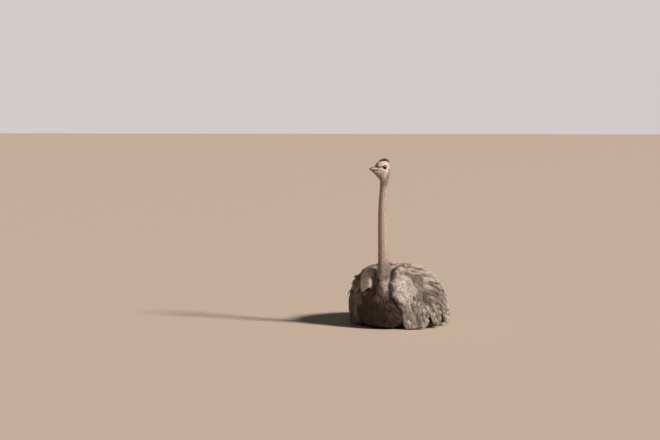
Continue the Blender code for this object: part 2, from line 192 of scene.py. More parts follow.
def ripple(a, b, seed):
    """A smooth wandering number from about -1 to 1 over two coordinates, one wave per unit."""
    total = 0.0
    for k in range(4):
        turn = seed * 1.7 + k * 2.4
        onward = a * math.cos(turn) + b * math.sin(turn)
        total = total + np.sin(math.tau * onward * (0.7 + 0.3 * k) + turn * 3.1)
    return total / 2.6


def rows_at(table, t):
    """A Catmull-Rom curve through equally spaced rows of numbers, for an array of places along it."""
    table = np.asarray(table, float)
    last = len(table) - 1
    t = np.asarray(t, float)
    i = np.clip(t.astype(int), 0, last - 1)
    u = (t - i)[:, None]
    a, b, c, d = (table[np.clip(i + k, 0, last)] for k in (-1, 0, 1, 2))
    doubled = 2 * b + (c - a) * u + (2 * a - 5 * b + 4 * c - d) * u * u + (3 * b - a - 3 * c + d) * u ** 3
    return (0.5 * doubled).T


def rows_of(*columns):
    """Rows of numbers from arrays, or single numbers, side by side."""
    return np.stack(np.broadcast_arrays(*columns), axis=1)


def unit(v):
    return v / np.maximum(np.linalg.norm(v, axis=-1, keepdims=True), 1e-9)


def placed(points):
    """Points counted from the bird's middle plane and the foot of her neck, in the model's own frame."""
    return points - np.array([MIDDLE_X, MIDDLE_Y, 0.0])


def swung(points, heights, turn):
    """Points swung about the neck's top, by a turn that the neck takes up along the given heights."""
    angle = turn * smooth_step((heights - TURN_FROM) / (TURN_TO - TURN_FROM))
    c, s = np.cos(angle), np.sin(angle)
    x, y = points[:, 0], points[:, 1] - NECK_TOP_Y
    return rows_of(x * c - y * s, NECK_TOP_Y + x * s + y * c, points[:, 2])


def turned(points, heights):
    """Points in the model's own frame, after the head's turn to her right."""
    return placed(swung(points, heights, -HEAD_TURN))


def from_eyes(points):
    """How far forward, up and aside points lie of the point between the eyes, before the head turns."""
    return EYE_Y - points[:, 1], points[:, 2] - EYE_HEIGHT, np.abs(points[:, 0])


def in_scene(obj):
    """Puts a new object in the scene."""
    bpy.context.scene.collection.objects.link(obj)
    return obj


def new_object(name, points, faces, smooth=True):
    """A mesh object at the origin."""
    mesh = bpy.data.meshes.new(name)
    mesh.from_pydata([tuple(p) for p in points], [], faces)
    mesh.update()
    if smooth:
        mesh.shade_smooth()
    return in_scene(bpy.data.objects.new(name, mesh))


def facing_out(obj):
    """Turns every face of a closed mesh to point outwards."""
    shape = bmesh.new()
    shape.from_mesh(obj.data)
    bmesh.ops.recalc_face_normals(shape, faces=shape.faces)
    shape.to_mesh(obj.data)
    shape.free()
    return obj


def closed_loft(name, rings):
    """A closed mesh through rings of equal length, its ends closed by fans."""
    rings = np.asarray(rings)
    count, sides = rings.shape[:2]
    points = [tuple(p) for p in rings.reshape(-1, 3)]
    faces = []
    for i in range(count - 1):
        for j in range(sides):
            a, b = i * sides + j, i * sides + (j + 1) % sides
            faces.append((a, b, b + sides, a + sides))
    for ring, first in ((rings[0], 0), (rings[-1], (count - 1) * sides)):
        points.append(tuple(ring.mean(axis=0)))
        faces += [(len(points) - 1, first + j, first + (j + 1) % sides) for j in range(sides)]
    return facing_out(new_object(name, points, faces))


def head_loft(name, rings):
    """A closed mesh through rings that are given before the head turns."""
    flat = rings.reshape(-1, 3)
    return closed_loft(name, turned(flat, flat[:, 2]).reshape(rings.shape))


def set_attribute(mesh, name, values, kind="FLOAT"):
    """Stores one value for each vertex."""
    attribute = mesh.attributes.new(name, kind, "POINT")
    values = np.ascontiguousarray(values, np.int32 if kind == "INT" else np.float32).ravel()
    attribute.data.foreach_set("vector" if kind == "FLOAT_VECTOR" else "value", values)


def stand_for(piece, finish, slot, *nodes):
    """Gives a finished piece its material and its body, and hides the solids that it stands for. The slot is
    not used.
    """
    piece.data.materials.clear()
    piece.data.materials.append(finish)
    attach(piece, "root")
    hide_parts(*nodes)


# A Mix node takes its share at 0, two vectors at 4 and 5 and two colours at 6 and 7, and gives a vector at 1
# and a colour at 2.
def add(tree, kind, inputs=None, out=0, stops=(), **settings):
    """Adds a node with its settings, its inputs by name or place (a value, or a link from a socket) and a
    ramp's stops (place, hex colour). Gives the output asked for, where the node has one."""
    node = tree.nodes.new(kind)
    for key, value in settings.items():
        setattr(node, key, value)
    for key, value in (inputs or {}).items():
        if isinstance(value, bpy.types.NodeSocket):
            tree.links.new(value, node.inputs[key])
        else:
            node.inputs[key].default_value = value
    for index, (place, colour) in enumerate(stops):
        elements = node.color_ramp.elements
        if index == 0:
            elements.remove(elements[1])
        element = elements.new(place) if index else elements[0]
        element.position = place
        element.color = linear(colour)
    return node.outputs[out] if len(node.outputs) else None


def new_finish(name):
    """A new empty material and its node tree."""
    made = bpy.data.materials.new(name)
    made.use_nodes = True
    made.node_tree.nodes.clear()
    return made, made.node_tree


def marked(tree, colour, markings):
    """Lays tints over a colour in turn, each as far as the piece's attribute of that name says."""
    for marking, tint in markings.items():
        share = add(tree, "ShaderNodeAttribute", out="Fac", attribute_name=marking)
        tint = linear(tint) if isinstance(tint, str) else tint
        colour = add(tree, "ShaderNodeMix", {0: share, 6: colour, 7: tint}, out=2, data_type="RGBA")
    return colour


# ---------------------------------------------------------------------------------------------------------
# Surfaces of the coat's tips: the sweep and the two wings, over a pair of coordinates each


def coat_depths(t):
    """How far the skin lies under the coat's tips: on the throat and belly, the crown and back, the sides."""
    stations, *depths = np.array(COAT_DEPTHS).T
    return [np.interp(t, stations, depth) for depth in depths]


def sweep(t, angle, drawn_in=False):
    """Points of the long sweep before the head turns, and the heights of their rings. Angle 0 is on the crown
    and back, half a turn is on the throat and belly, and a quarter turn is her left side."""
    t, angle = np.broadcast_arrays(np.asarray(t, float), np.asarray(angle, float))
    fy, fz, by, bz, width, square, bias = rows_at(STATIONS, t)
    if drawn_in:
        front, back, side = coat_depths(t)
        length = np.hypot(by - fy, bz - fz)
        uy, uz = (by - fy) / length, (bz - fz) / length
        fy, fz, by, bz = fy + uy * front, fz + uz * front, by - uy * back, bz - uz * back
        width = width - side
    along = signed_power(np.cos(angle), 2 / square)
    aside = signed_power(np.sin(angle), 2 / square)
    y = (fy + by) / 2 + (by - fy) / 2 * along
    z = (fz + bz) / 2 + (bz - fz) / 2 * along
    return rows_of(width * aside * (1 + bias * along), y, z), (fz + bz) / 2


def body_surface(t, angle):
    """A point at the tips of the coat on the head, neck, trunk or tail."""
    points, heights = sweep(np.clip(t, 0, TAIL_TIPS), angle)
    points = turned(points, heights)
    points[:, 2] = np.maximum(points[:, 2], 0.0)
    return points


def body_depth(t, angle):
    """How far the skin lies under the tips of the coat, all round."""
    front, back, side = coat_depths(t)
    towards = np.cos(angle)
    return side + (back - side) * np.maximum(towards, 0) ** 2 + (front - side) * np.maximum(-towards, 0) ** 2


def wing_surface(side):
    """The outer surface of one wing, over the run from front to rear and the share from top edge to floor."""
    def surface(run, share):
        run, share = (np.clip(np.asarray(v, float), 0.0, 1.0) for v in np.broadcast_arrays(run, share))
        y, half_width, height, square, start = rows_at(WING, run * (len(WING) - 1))
        top = np.arcsin(np.minimum(start / half_width, 1.0) ** (square / 2))
        angle = top + (math.pi / 2 - top) * share
        x = half_width * np.sin(angle) ** (2 / square)
        z = height * np.maximum(np.cos(angle), 0.0) ** (2 / square)
        lean = FRONT_LEAN * smooth_step(1 - z / height) * (1 - run) ** 3
        tuck = 1 - TUCK[side] * smooth_step(1 - z / (TUCK_HEIGHT * height))
        return placed(rows_of(side * x * tuck, y + lean, HEM + z * (1 - HEM / height)))
    return surface


def slopes(surface, a, b, inside):
    """Point, outward normal and the two slopes of a surface. inside is a point within the body."""
    step = 0.012
    point = surface(a, b)
    along_a = (surface(a + step, b) - surface(a - step, b)) / (2 * step)
    along_b = (surface(a, b + step) - surface(a, b - step)) / (2 * step)
    normal = unit(np.cross(along_a, along_b))
    outward = np.sum(normal * (point - inside(point)), axis=1) >= 0
    return point, np.where(outward[:, None], normal, -normal), along_a, along_b


def heading(surface, a, b, step_a, step_b):
    """The way over a surface in which its coordinates grow by these steps."""
    return unit(surface(a + step_a, b + step_b) - surface(a - step_a, b - step_b))


# ---------------------------------------------------------------------------------------------------------
# Camera, light and floor

VIEW_TURN = math.radians(28)  # of the camera from straight ahead of her, to her left
CAMERA_PLACE = Vector((3.8605, -8.4305, 1.4143))
CAMERA_PITCH = math.radians(4.0856)
LENS = 68.727
SENSOR_WIDTH = 36.0
BACKDROP_SHOWN, BACKDROP_LIGHT = 0.79, 0.10  # it looks paler than it lights
FLOOR_REACH, FLOOR_HEIGHT = 400, -0.0006


def make_camera():
    camera = in_scene(bpy.data.objects.new("camera", bpy.data.cameras.new("camera")))
    camera.data.lens = LENS
    camera.data.sensor_width = SENSOR_WIDTH
    camera.location = CAMERA_PLACE
    camera.rotation_euler = (math.pi / 2 - CAMERA_PITCH, 0.0, VIEW_TURN)
    bpy.context.scene.camera = camera


def make_light(name, direction, power, softness, colour):
    """A distant soft lamp that shines from a direction. Softness is the angle that it fills."""
    lamp = in_scene(bpy.data.objects.new(name, bpy.data.lights.new(name, "SUN")))
    lamp.data.energy = power
    lamp.data.angle = math.radians(softness)
    lamp.data.color = linear(colour)[:3]
    lamp.rotation_euler = Vector(direction).to_track_quat("Z", "Y").to_euler()


def make_studio():
    """A soft warm key from her left, a faint fill, a pale backdrop and a plain pale floor."""
    make_light("key", (1.0, 0.063, 0.674), 5.2, 9, "#FFF1E9")
    make_light("fill", (-0.1, -1.0, 0.5), 0.10, 60, "#F4EEF2")
    world = bpy.data.worlds.new("studio")
    world.use_nodes = True
    tree = world.node_tree
    tree.nodes.clear()
    seen = add(tree, "ShaderNodeLightPath", out="Is Camera Ray")
    brightness = {0: seen, 1: BACKDROP_SHOWN - BACKDROP_LIGHT, 2: BACKDROP_LIGHT}
    strength = add(tree, "ShaderNodeMath", brightness, operation="MULTIPLY_ADD")
    backdrop = add(tree, "ShaderNodeBackground", {"Color": linear("#E8E1E1"), "Strength": strength})
    add(tree, "ShaderNodeOutputWorld", {"Surface": backdrop})
    bpy.context.scene.world = world
    bpy.context.scene.view_settings.view_transform = "Standard"
    square = ((-1, -1), (1, -1), (1, 1), (-1, 1))
    corners = [(x * FLOOR_REACH, y * FLOOR_REACH, FLOOR_HEIGHT) for x, y in square]
    floor = new_object("floor", corners, [(0, 1, 2, 3)], smooth=False)
    made, tree = new_finish("matt_studio_floor")
    surface = add(tree, "ShaderNodeBsdfPrincipled", {"Base Color": linear("#C3B6A5"), "Roughness": 0.95})
    add(tree, "ShaderNodeOutputMaterial", {"Surface": surface})
    floor.data.materials.append(made)


# ---------------------------------------------------------------------------------------------------------
# Skin: the sweep drawn in by the coat's depth, with the head's folds, joined to wing arms and legs

SKIN_SIDES = 240
SKIN_FLOOR, LIMB_FLOOR = 0.004, 0.0002  # the lowest that each goes
EYE_ANGLE, EYE_SPREAD, EYE_CROWDING = math.radians(78), math.radians(17), 4.0  # where the sweep is finest
EYE_ASIDE, EYE_FORWARD, EYE_UP = 0.0255, 0.004, 0.003  # of an eyeball's middle
EYE_HALF = np.array([0.0150, 0.0190, 0.0180])  # half sizes across, along and up
LID_HALF = np.array([0.0160, 0.0134])  # half sizes of the opening, along and up
LID_UP = 0.0034  # the opening's middle, over the point midway between the eyes
LID_THICK = 0.0012
LID_CREASES = (0.0007, 0.0006, 0.0005)  # depths, from the lids outwards
FIRST_CREASE, CREASE_STEP, CREASE_WIDTH = 1.55, 0.27, 0.06  # in half sizes of the opening
LINING_DEPTH = 0.0035  # how far inside the eyeball the skin ends in the opening
GAPE_BACK = 0.004  # how far forward of the eyes the gape ends
GAPE_SLOPE, GAPE_CORNER = 0.24, (0.047, -0.0165)  # the gape's fall towards the cheek, from the bill's foot
EAR = (-0.031, -0.0135)  # forward and up of the eyes

# Moves of the head's skin: how far out, the middle forward and up of the eyes, the reach along and up.
HEAD_MOVES = (
    (0.0030, 0.006, 0.0235, 0.022, 0.007),  # brow
    (-0.0026, 0.034, 0.006, 0.012, 0.010),  # lores
    (-0.0016, -0.018, 0.004, 0.010, 0.014),  # behind the eye
    (0.0020, -0.004, -0.026, 0.020, 0.009),  # cheek
    (-0.0018, 0.012, -0.047, 0.018, 0.010),  # hollow between jaw and throat
)


def eyeball_reach(forward, up):
    """How far from the middle plane the eyeball's surface lies, at a point of the head's side."""
    off = ((forward - EYE_FORWARD) / EYE_HALF[1]) ** 2 + ((up - EYE_UP) / EYE_HALF[2]) ** 2
    return EYE_ASIDE + EYE_HALF[0] * np.sqrt(np.maximum(1 - off, 0.0))


def lid_ring(forward, up):
    """How far out from the eye's opening a point lies: 1 on its rim, 2 twice as far from its middle."""
    return np.hypot((forward - EYE_FORWARD) / LID_HALF[0], (up - LID_UP) / LID_HALF[1])


def gape_height(forward):
    """How high the line between the two halves of the bill lies, from the eyes."""
    return GAPE_CORNER[1] + (forward - GAPE_CORNER[0]) * GAPE_SLOPE


def from_ear(forward, up, half_length, half_height):
    """How far out from the ear's middle a point lies, 1 on an oval of these half sizes."""
    return np.hypot((forward - EAR[0]) / half_length, (up - EAR[1]) / half_height)


def with_features(points, middles):
    """The head's lids, brow, lores, cheek, gape and ear, as moves of the skin's points before the turn."""
    forward, up, aside = from_eyes(points)
    outward = unit(points - middles)
    flank = smooth_step((aside - 0.010) / 0.012)
    move = np.zeros(len(points))
    for out, middle_f, middle_u, reach_f, reach_u in HEAD_MOVES:
        off = -((forward - middle_f) / reach_f) ** 2 - ((up - middle_u) / reach_u) ** 2
        move += out * (np.exp(off) * flank)
    from_gape = up - gape_height(forward)
    on_gape = smooth_step((forward - GAPE_BACK) / 0.008) * flank
    lips = hump(from_gape, -0.0036, 0.0020) + 0.8 * hump(from_gape, 0.0034, 0.0020)
    move -= 0.0022 * on_gape * hump(from_gape, 0.0, 0.0014)
    move += 0.0010 * on_gape * lips
    ear = from_ear(forward, up, 0.0052, 0.0066)
    move += (0.0013 * hump(ear, 1.25, 0.35) - 0.0045 * np.exp(-ear ** 4)) * flank  # its rim and its hole
    ring = lid_ring(forward, up)
    for k, depth in enumerate(LID_CREASES):
        crease = hump(ring, FIRST_CREASE + CREASE_STEP * k, CREASE_WIDTH)
        move -= depth * crease * flank * smooth_step((aside - 0.02) / 0.01)
    points = points + outward * move[:, None]

    # The lids lie over the eyeball, and the skin inside their rim goes in behind its surface.
    reach = eyeball_reach(forward, up)
    seen = np.abs(points[:, 0])
    lid = np.maximum(reach + LID_THICK * (1.0 + 0.5 * hump(ring, 1.08, 0.10)), seen)
    raised = seen + (lid - seen) * smooth_step((1.75 - ring) / 0.5)
    hidden = reach - LINING_DEPTH
    near = (aside > 0.018) & (ring < 1.8)
    width = np.where(near, raised + (hidden - raised) * smooth_step((1.0 - ring) / 0.10), seen)
    points[:, 0] = np.sign(points[:, 0]) * width
    return points


def sweep_skin():
    """The skin of head, neck, trunk and tail stump as one closed sweep."""
    ts = np.concatenate([
        np.linspace(0.0, NAPE, 190, endpoint=False),
        np.linspace(NAPE, NECK_FOOT, 80, endpoint=False),
        np.linspace(NECK_FOOT, STUMP_END, 44),
    ])
    fine = np.linspace(0.0, math.tau, 2001)
    at_eyes = hump(fine, EYE_ANGLE, EYE_SPREAD) + hump(fine, math.tau - EYE_ANGLE, EYE_SPREAD)
    crowding = 1 + EYE_CROWDING * at_eyes
    passed = np.concatenate([[0.0], np.cumsum((crowding[1:] + crowding[:-1]) / 2)])
    angles = np.interp((np.arange(SKIN_SIDES) + 0.5) / SKIN_SIDES, passed / passed[-1], fine)
    t, angle = (v.ravel() for v in np.meshgrid(ts, angles, indexing="ij"))
    points, heights = sweep(t, angle, drawn_in=True)
    middles = points.reshape(len(ts), SKIN_SIDES, 3).mean(axis=1).repeat(SKIN_SIDES, axis=0)
    shaped = with_features(points, middles)
    on_head = smooth_step((NAPE - 1 - t) / 1.5)[:, None]
    points = turned(points + (shaped - points) * on_head, heights)
    points[:, 2] = np.maximum(points[:, 2], SKIN_FLOOR)
    return closed_loft("skin", points.reshape(len(ts), SKIN_SIDES, 3))


HOCK = np.array([0.152, 0.490, 0.030])
TOE_JOINT = np.array([0.118, 0.135, 0.026])
KNEE = np.array([0.158, 0.055, 0.205])
# Down each length: share of the way, half width, half height.
DRUMSTICK = [(0.0, 0.030, 0.034), (0.07, 0.056, 0.064), (0.25, 0.070, 0.080), (0.5, 0.058, 0.066),
             (0.75, 0.038, 0.042), (0.92, 0.029, 0.031), (1.0, 0.024, 0.024)]
SHANK = [(-0.05, 0.016, 0.016), (-0.02, 0.026, 0.027), (0.05, 0.029, 0.030), (0.14, 0.021, 0.023),
         (0.5, 0.0165, 0.019), (0.85, 0.018, 0.019), (0.97, 0.023, 0.022), (1.0, 0.022, 0.021)]
BIG_TOE = [(-0.03, 0.0185, 0.018), (0.18, 0.0235, 0.022), (0.34, 0.0195, 0.019), (0.5, 0.0215, 0.020),
           (0.66, 0.0180, 0.017), (0.82, 0.0190, 0.017), (0.95, 0.0140, 0.013), (1.0, 0.0085, 0.0085)]
SMALL_TOE = [(0.0, 0.0130, 0.013), (0.3, 0.0135, 0.013), (0.5, 0.0115, 0.011), (0.72, 0.0125, 0.011),
             (0.93, 0.0095, 0.009), (1.0, 0.0055, 0.0055)]
CLAW = [(-0.15, 0.0080, 0.0078), (0.0, 0.0088, 0.0085), (0.35, 0.0082, 0.0080), (0.7, 0.0055, 0.0052),
        (1.0, 0.0018, 0.0016)]
TOE_LENGTH, SMALL_TOE_LENGTH, CLAW_LENGTH = 0.135, 0.092, 0.034


def toe_way(out, fall):
    """The way a toe points on her left side, from how far it turns out and how steeply it falls."""
    return np.array([math.sin(math.radians(out)), -math.cos(math.radians(out)), fall])


BIG_TOE_WAY, SMALL_TOE_WAY = toe_way(3, -0.035), toe_way(32, -0.04)


def limb(name, start, end, profile, side, sides=28, rings=40):
    """A tapered length from start to end, flattened where it meets the floor."""
    start, end = (p * np.array([side, 1, 1]) for p in (start, end))
    axis = end - start
    aside = unit(np.cross(axis, [0.0, 0.0, 1.0]))
    above = unit(np.cross(aside, axis))
    share, half_width, half_height = rows_at(profile, np.linspace(0, len(profile) - 1, rings))
    angle = math.tau * (np.arange(sides) + 0.5) / sides
    made = (start + axis * share[:, None, None]
            + aside * (half_width[:, None] * np.cos(angle))[..., None]
            + above * (half_height[:, None] * np.sin(angle))[..., None])
    made[..., 2] = np.maximum(made[..., 2], LIMB_FLOOR)
    return closed_loft(name, placed(made.reshape(-1, 3)).reshape(made.shape))


ARM_SHOULDER = (0.075, 0.10, 0.29)
ARM_PLACES = np.array([(0.16, 0.30), (0.30, 0.36), (0.46, 0.38), (0.60, 0.46), (0.68, 0.58)])  # run, share
ARM_DEPTH = 0.055  # under the wing's outer surface
ARM_RADII = [[0.040], [0.034], [0.030], [0.026], [0.019], [0.006]]
ARM_FLATNESS = 0.8


def arm(side, word):
    """The bare wing arm inside the plumes, from the shoulder to the hand."""
    point, normal, _, _ = slopes(wing_surface(side), *ARM_PLACES.T, lambda p: p * [0, 1, 0])
    route = np.concatenate([[placed(np.array(ARM_SHOULDER) * [side, 1, 1])], point - normal * ARM_DEPTH])
    x, y, z, radius = rows_at(np.hstack([route, ARM_RADII]), np.linspace(0, len(ARM_RADII) - 1, 40))
    middle = rows_of(x, y, z)
    onward = unit(np.gradient(middle, axis=0))
    aside = unit(np.cross(onward, [0.0, 0.0, 1.0]))
    above = np.cross(aside, onward)
    angle = math.tau * np.arange(24) / 24
    rings = (middle[:, None] + aside[:, None] * (radius[:, None] * np.cos(angle))[..., None]
             + above[:, None] * (radius[:, None] * np.sin(angle) * ARM_FLATNESS)[..., None])
    return closed_loft("arm_" + word, rings)


def crown_share(forward, up):
    """Where the head's brown bristles grow: over the crown from the brow to the nape."""
    line = 0.0430 - 0.12 * np.maximum(forward - 0.006, 0) - 0.42 * np.maximum(-forward - 0.020, 0)
    return smooth_step((up - line) / 0.008) * smooth_step((0.056 - forward) / 0.012)


def store_markings(mesh):
    """Stores how far each marking covers the skin, from the places of its points before the head turns."""
    points = np.array([corner.co for corner in mesh.vertices]) + np.array([MIDDLE_X, MIDDLE_Y, 0.0])
    forward, up, aside = from_eyes(swung(points, points[:, 2], HEAD_TURN))
    on_head = smooth_step((points[:, 2] - 1.04) / 0.02)
    ring = lid_ring(forward, up)
    side = smooth_step((aside - 0.02) / 0.008) * on_head
    rim = smooth_step((1.22 - ring) / 0.16) * side
    # Painted shade: the ear's opening is painted dark, together with the lids' rims.
    ear = np.exp(-from_ear(forward, up, 0.005, 0.006) ** 4) * side
    # Painted shade: a dark line along the lore's groove under the brow, and along the gape's crease.
    lore_ends = smooth_step((forward - 0.016) / 0.006) * smooth_step((0.066 - forward) / 0.010)
    lore = lore_ends * hump(up, 0.0072 - (forward - 0.018) * 0.03, 0.0058) * on_head
    gape = (smooth_step((forward - GAPE_BACK) / 0.006) * hump(up, gape_height(forward), 0.0018)
            * smooth_step((aside - 0.010) / 0.008) * on_head)
    # Partly painted shade: the skin under the gape and down the throat, which faces away from the light, is
    # browner; partly the hen's own browner skin.
    painted_shade_under_gape = smooth_step((gape_height(forward) - 0.007 - up) / 0.014)
    leg = smooth_step((0.10 - points[:, 2]) / 0.03) * smooth_step((aside - 0.07) / 0.02)
    shares = {
        "crown": 0.9 * crown_share(forward, up) * on_head,
        "rim": np.maximum(rim, ear),
        "surround": 0.55 * smooth_step((2.4 - ring) / 0.9) * side,
        "jaw": 0.75 * painted_shade_under_gape * smooth_step((forward + 0.006) / 0.022) * on_head,
        "lore": np.maximum(lore, gape),
        "scutes": leg,
        # Painted shade: the skin under the plumes is dark, for the shade in the gaps between them.
        "plumed": smooth_step((0.50 - points[:, 2]) / 0.12) * (1 - leg),
    }
    for name, values in shares.items():
        set_attribute(mesh, name, values)


def bare_skin_finish():
    """Bare bird skin, soft and matt: pale beige with fine pebbling, dark at the lids' rims, brown on the
    crown, with hard dark-edged scutes on the legs. Painted shade darkens the lore's groove, the gape, the
    ear's opening, the throat under the jaw (partly a browner skin) and the skin under the plumes."""
    made, tree = new_finish("bare_bird_skin")
    place = add(tree, "ShaderNodeTexCoord", out="Object")
    patches = {"Vector": place, "Scale": 90.0, "Detail": 4.0, "Roughness": 0.55}  # about 11 mm
    mottle = add(tree, "ShaderNodeTexNoise", patches, out="Fac")
    colour = add(tree, "ShaderNodeValToRGB", {"Fac": mottle},
                 stops=((0.30, "#A79384"), (0.55, "#BFAEA1"), (0.75, "#D3C7BD")))
    scutes = {"Vector": place, "Scale": 120.0}  # about 8 mm
    scute_lines = add(tree, "ShaderNodeTexVoronoi", scutes, out="Distance", feature="DISTANCE_TO_EDGE")
    scute_colour = add(tree, "ShaderNodeValToRGB", {"Fac": scute_lines},
                       stops=((0.02, "#4C3F37"), (0.12, "#8C7A6C")))
    # Painted shade: the crease line, part of the jaw's brown, the ear's opening and the skin under the
    # plumes. The surround, crown, lids' rims and scutes are the skin's own colours.
    colour = marked(tree, colour, {
        "surround": "#D6C3B7", "jaw": "#86705C", "lore": "#3F2E25", "crown": "#6B5242", "rim": "#3A2C26",
        "plumed": "#5A4A40", "scutes": scute_colour})
    pebble = add(tree, "ShaderNodeTexVoronoi", {"Vector": place, "Scale": 620.0}, out="Distance")  # 1.6 mm
    grain = {"Vector": place, "Scale": 240.0, "Detail": 3.0, "Roughness": 0.55}  # about 4 mm
    fine = add(tree, "ShaderNodeTexNoise", grain, out="Fac")
    relief = add(tree, "ShaderNodeMath", {0: fine, 1: 1.3, 2: pebble}, operation="MULTIPLY_ADD")
    bump = add(tree, "ShaderNodeBump", {"Strength": 0.35, "Distance": 0.0008, "Height": relief})
    surface = add(tree, "ShaderNodeBsdfPrincipled", {
        "Base Color": colour, "Roughness": 0.68, "Specular IOR Level": 0.35, "Normal": bump})
    add(tree, "ShaderNodeOutputMaterial", {"Surface": surface})
    return made


def make_skin():
    skin = sweep_skin()
    others = []
    for word, side in SIDES.items():
        toe_tip = TOE_JOINT + BIG_TOE_WAY * TOE_LENGTH
        small_start = TOE_JOINT + np.array([0.010, 0.006, -0.010])
        small_tip = small_start + SMALL_TOE_WAY * SMALL_TOE_LENGTH
        others += [
            limb("drumstick_skin_" + word, KNEE, HOCK + np.array([0, -0.012, 0.030]), DRUMSTICK, side),
            limb("shank_skin_" + word, HOCK, TOE_JOINT, SHANK, side, rings=60),
            limb("big_toe_skin_" + word, TOE_JOINT, toe_tip, BIG_TOE, side, rings=50),
            limb("small_toe_skin_" + word, small_start, small_tip, SMALL_TOE, side),
            arm(side, word),
        ]
    for other in others:
        modifier = skin.modifiers.new("join_" + other.name, "BOOLEAN")
        modifier.operation = "UNION"
        modifier.object = other
        modifier.solver = "EXACT"
    graph = bpy.context.evaluated_depsgraph_get()
    joined = bpy.data.meshes.new_from_object(skin.evaluated_get(graph), depsgraph=graph)
    joined.name = "body_skin"
    for used in (skin, *others):
        bpy.data.objects.remove(used)
    joined.shade_smooth()
    store_markings(joined)
    stand_for(in_scene(bpy.data.objects.new("body_skin", joined)), bare_skin_finish(), "neck_skin",
              "head", "neck_upper", "neck_middle", "neck_lower", "trunk", "tail", "wing_left", "wing_right",
              "drumstick_left", "drumstick_right", "shank_left", "shank_right",
              "big_toe_left", "big_toe_right", "small_toe_left", "small_toe_right")


# ---------------------------------------------------------------------------------------------------------
# Eyes

PUPIL, IRIS = 0.0070, 0.0124  # radii
CORNEA_RISE = 0.0011  # of the clear front over the ball
EYE_POLE = math.pi / 2 - 0.03  # the last ring's latitude


def eye_finish():
    """A wet bird's eye: near-black brown iris with faint rays, black pupil, a clear hard gloss."""
    made, tree = new_finish("wet_eye")
    place = add(tree, "ShaderNodeTexCoord", out="Object")
    rays = add(tree, "ShaderNodeTexNoise", {"Vector": place, "Scale": 900.0, "Detail": 2.0}, out="Fac")
    colour = add(tree, "ShaderNodeValToRGB", {"Fac": rays}, stops=((0.3, "#120905"), (0.7, "#2A170D")))
    off = add(tree, "ShaderNodeAttribute", out="Fac", attribute_name="from_axis")
    for operation, edge, tint in (("GREATER_THAN", IRIS, "#120B09"), ("LESS_THAN", PUPIL, "#030202")):
        share = add(tree, "ShaderNodeMath", {0: off, 1: edge}, operation=operation)
        colour = add(tree, "ShaderNodeMix", {0: share, 6: colour, 7: linear(tint)}, out=2, data_type="RGBA")
    surface = add(tree, "ShaderNodeBsdfPrincipled", {
        "Base Color": colour, "Roughness": 0.10, "IOR": 1.38, "Coat Weight": 0.4, "Coat Roughness": 0.05})
    add(tree, "ShaderNodeOutputMaterial", {"Surface": surface})
    return made


def make_eyes():
    finish = eye_finish()
    latitude, around = np.meshgrid(np.linspace(-EYE_POLE, EYE_POLE, 40), math.tau * np.arange(56) / 56,
                                   indexing="ij")
    ring = np.cos(latitude)
    reach = np.stack([np.sin(latitude), ring * np.cos(around), ring * np.sin(around)], axis=-1)
    rings = reach * EYE_HALF
    off = np.hypot(rings[..., 1], rings[..., 2])
    rings[..., 0] += CORNEA_RISE * np.exp(-(off / IRIS) ** 2) * (reach[..., 0] > 0)
    rings += [EYE_ASIDE, EYE_Y - EYE_FORWARD, EYE_HEIGHT + EYE_UP]
    for word, side in SIDES.items():
        ball = head_loft("eyeball_" + word, rings * [side, 1, 1])
        set_attribute(ball.data, "from_axis", np.append(off.ravel(), [0.0, 0.0]))
        stand_for(ball, finish, "eye", "eye_" + word)


# ---------------------------------------------------------------------------------------------------------
# Bill and claws

# Down the bill: distance forward of the eyes, gape height, rise to the ridge, drop to the chin, half width.
BILL = [
    (0.0470, -0.0165, 0.0245, 0.0150, 0.0240),
    (0.0600, -0.0150, 0.0225, 0.0130, 0.0212),
    (0.0750, -0.0130, 0.0195, 0.0112, 0.0190),
    (0.0880, -0.0110, 0.0165, 0.0098, 0.0170),
    (0.0990, -0.0095, 0.0125, 0.0082, 0.0143),
    (0.1070, -0.0085, 0.0080, 0.0060, 0.0100),
    (0.1105, -0.0080, 0.0040, 0.0034, 0.0050),
]
BILL_ROWS, BILL_COLUMNS = 90, 57
BILL_ROOT, ROOT_LENGTH = 0.35, 0.013  # rows of the table that lie inside the head, and metres to a row there
BILL_SQUARE = 0.85  # under 1 squares its section
GAPE_HALF = 0.00025  # half the line between the two halves
NOSTRIL = (0.0670, 0.0100)  # forward of the eyes, and from the middle plane
TIP_SHARE = 0.7  # how far the horn pales at the tip


def horn_finish(name, dark, light):
    """Grown horn, a hard satin layer: faint grain, paler towards the tip, with painted shade dark in the
    nostrils.
    """
    made, tree = new_finish(name)
    place = add(tree, "ShaderNodeTexCoord", out="Object")
    lines = {"Vector": place, "Scale": 420.0, "Detail": 5.0, "Roughness": 0.65}  # about 2.4 mm
    grain = add(tree, "ShaderNodeTexNoise", lines, out="Fac")
    colour = add(tree, "ShaderNodeValToRGB", {"Fac": grain}, stops=((0.3, dark), (0.7, light)))
    # Painted shade in the nostrils' hollows.
    colour = marked(tree, colour, {"tip": "#A8937F", "hollow": "#2B1D16"})
    bump = add(tree, "ShaderNodeBump", {"Strength": 0.25, "Distance": 0.0005, "Height": grain})
    surface = add(tree, "ShaderNodeBsdfPrincipled", {"Base Color": colour, "Roughness": 0.42, "Normal": bump})
    add(tree, "ShaderNodeOutputMaterial", {"Surface": surface})
    return made


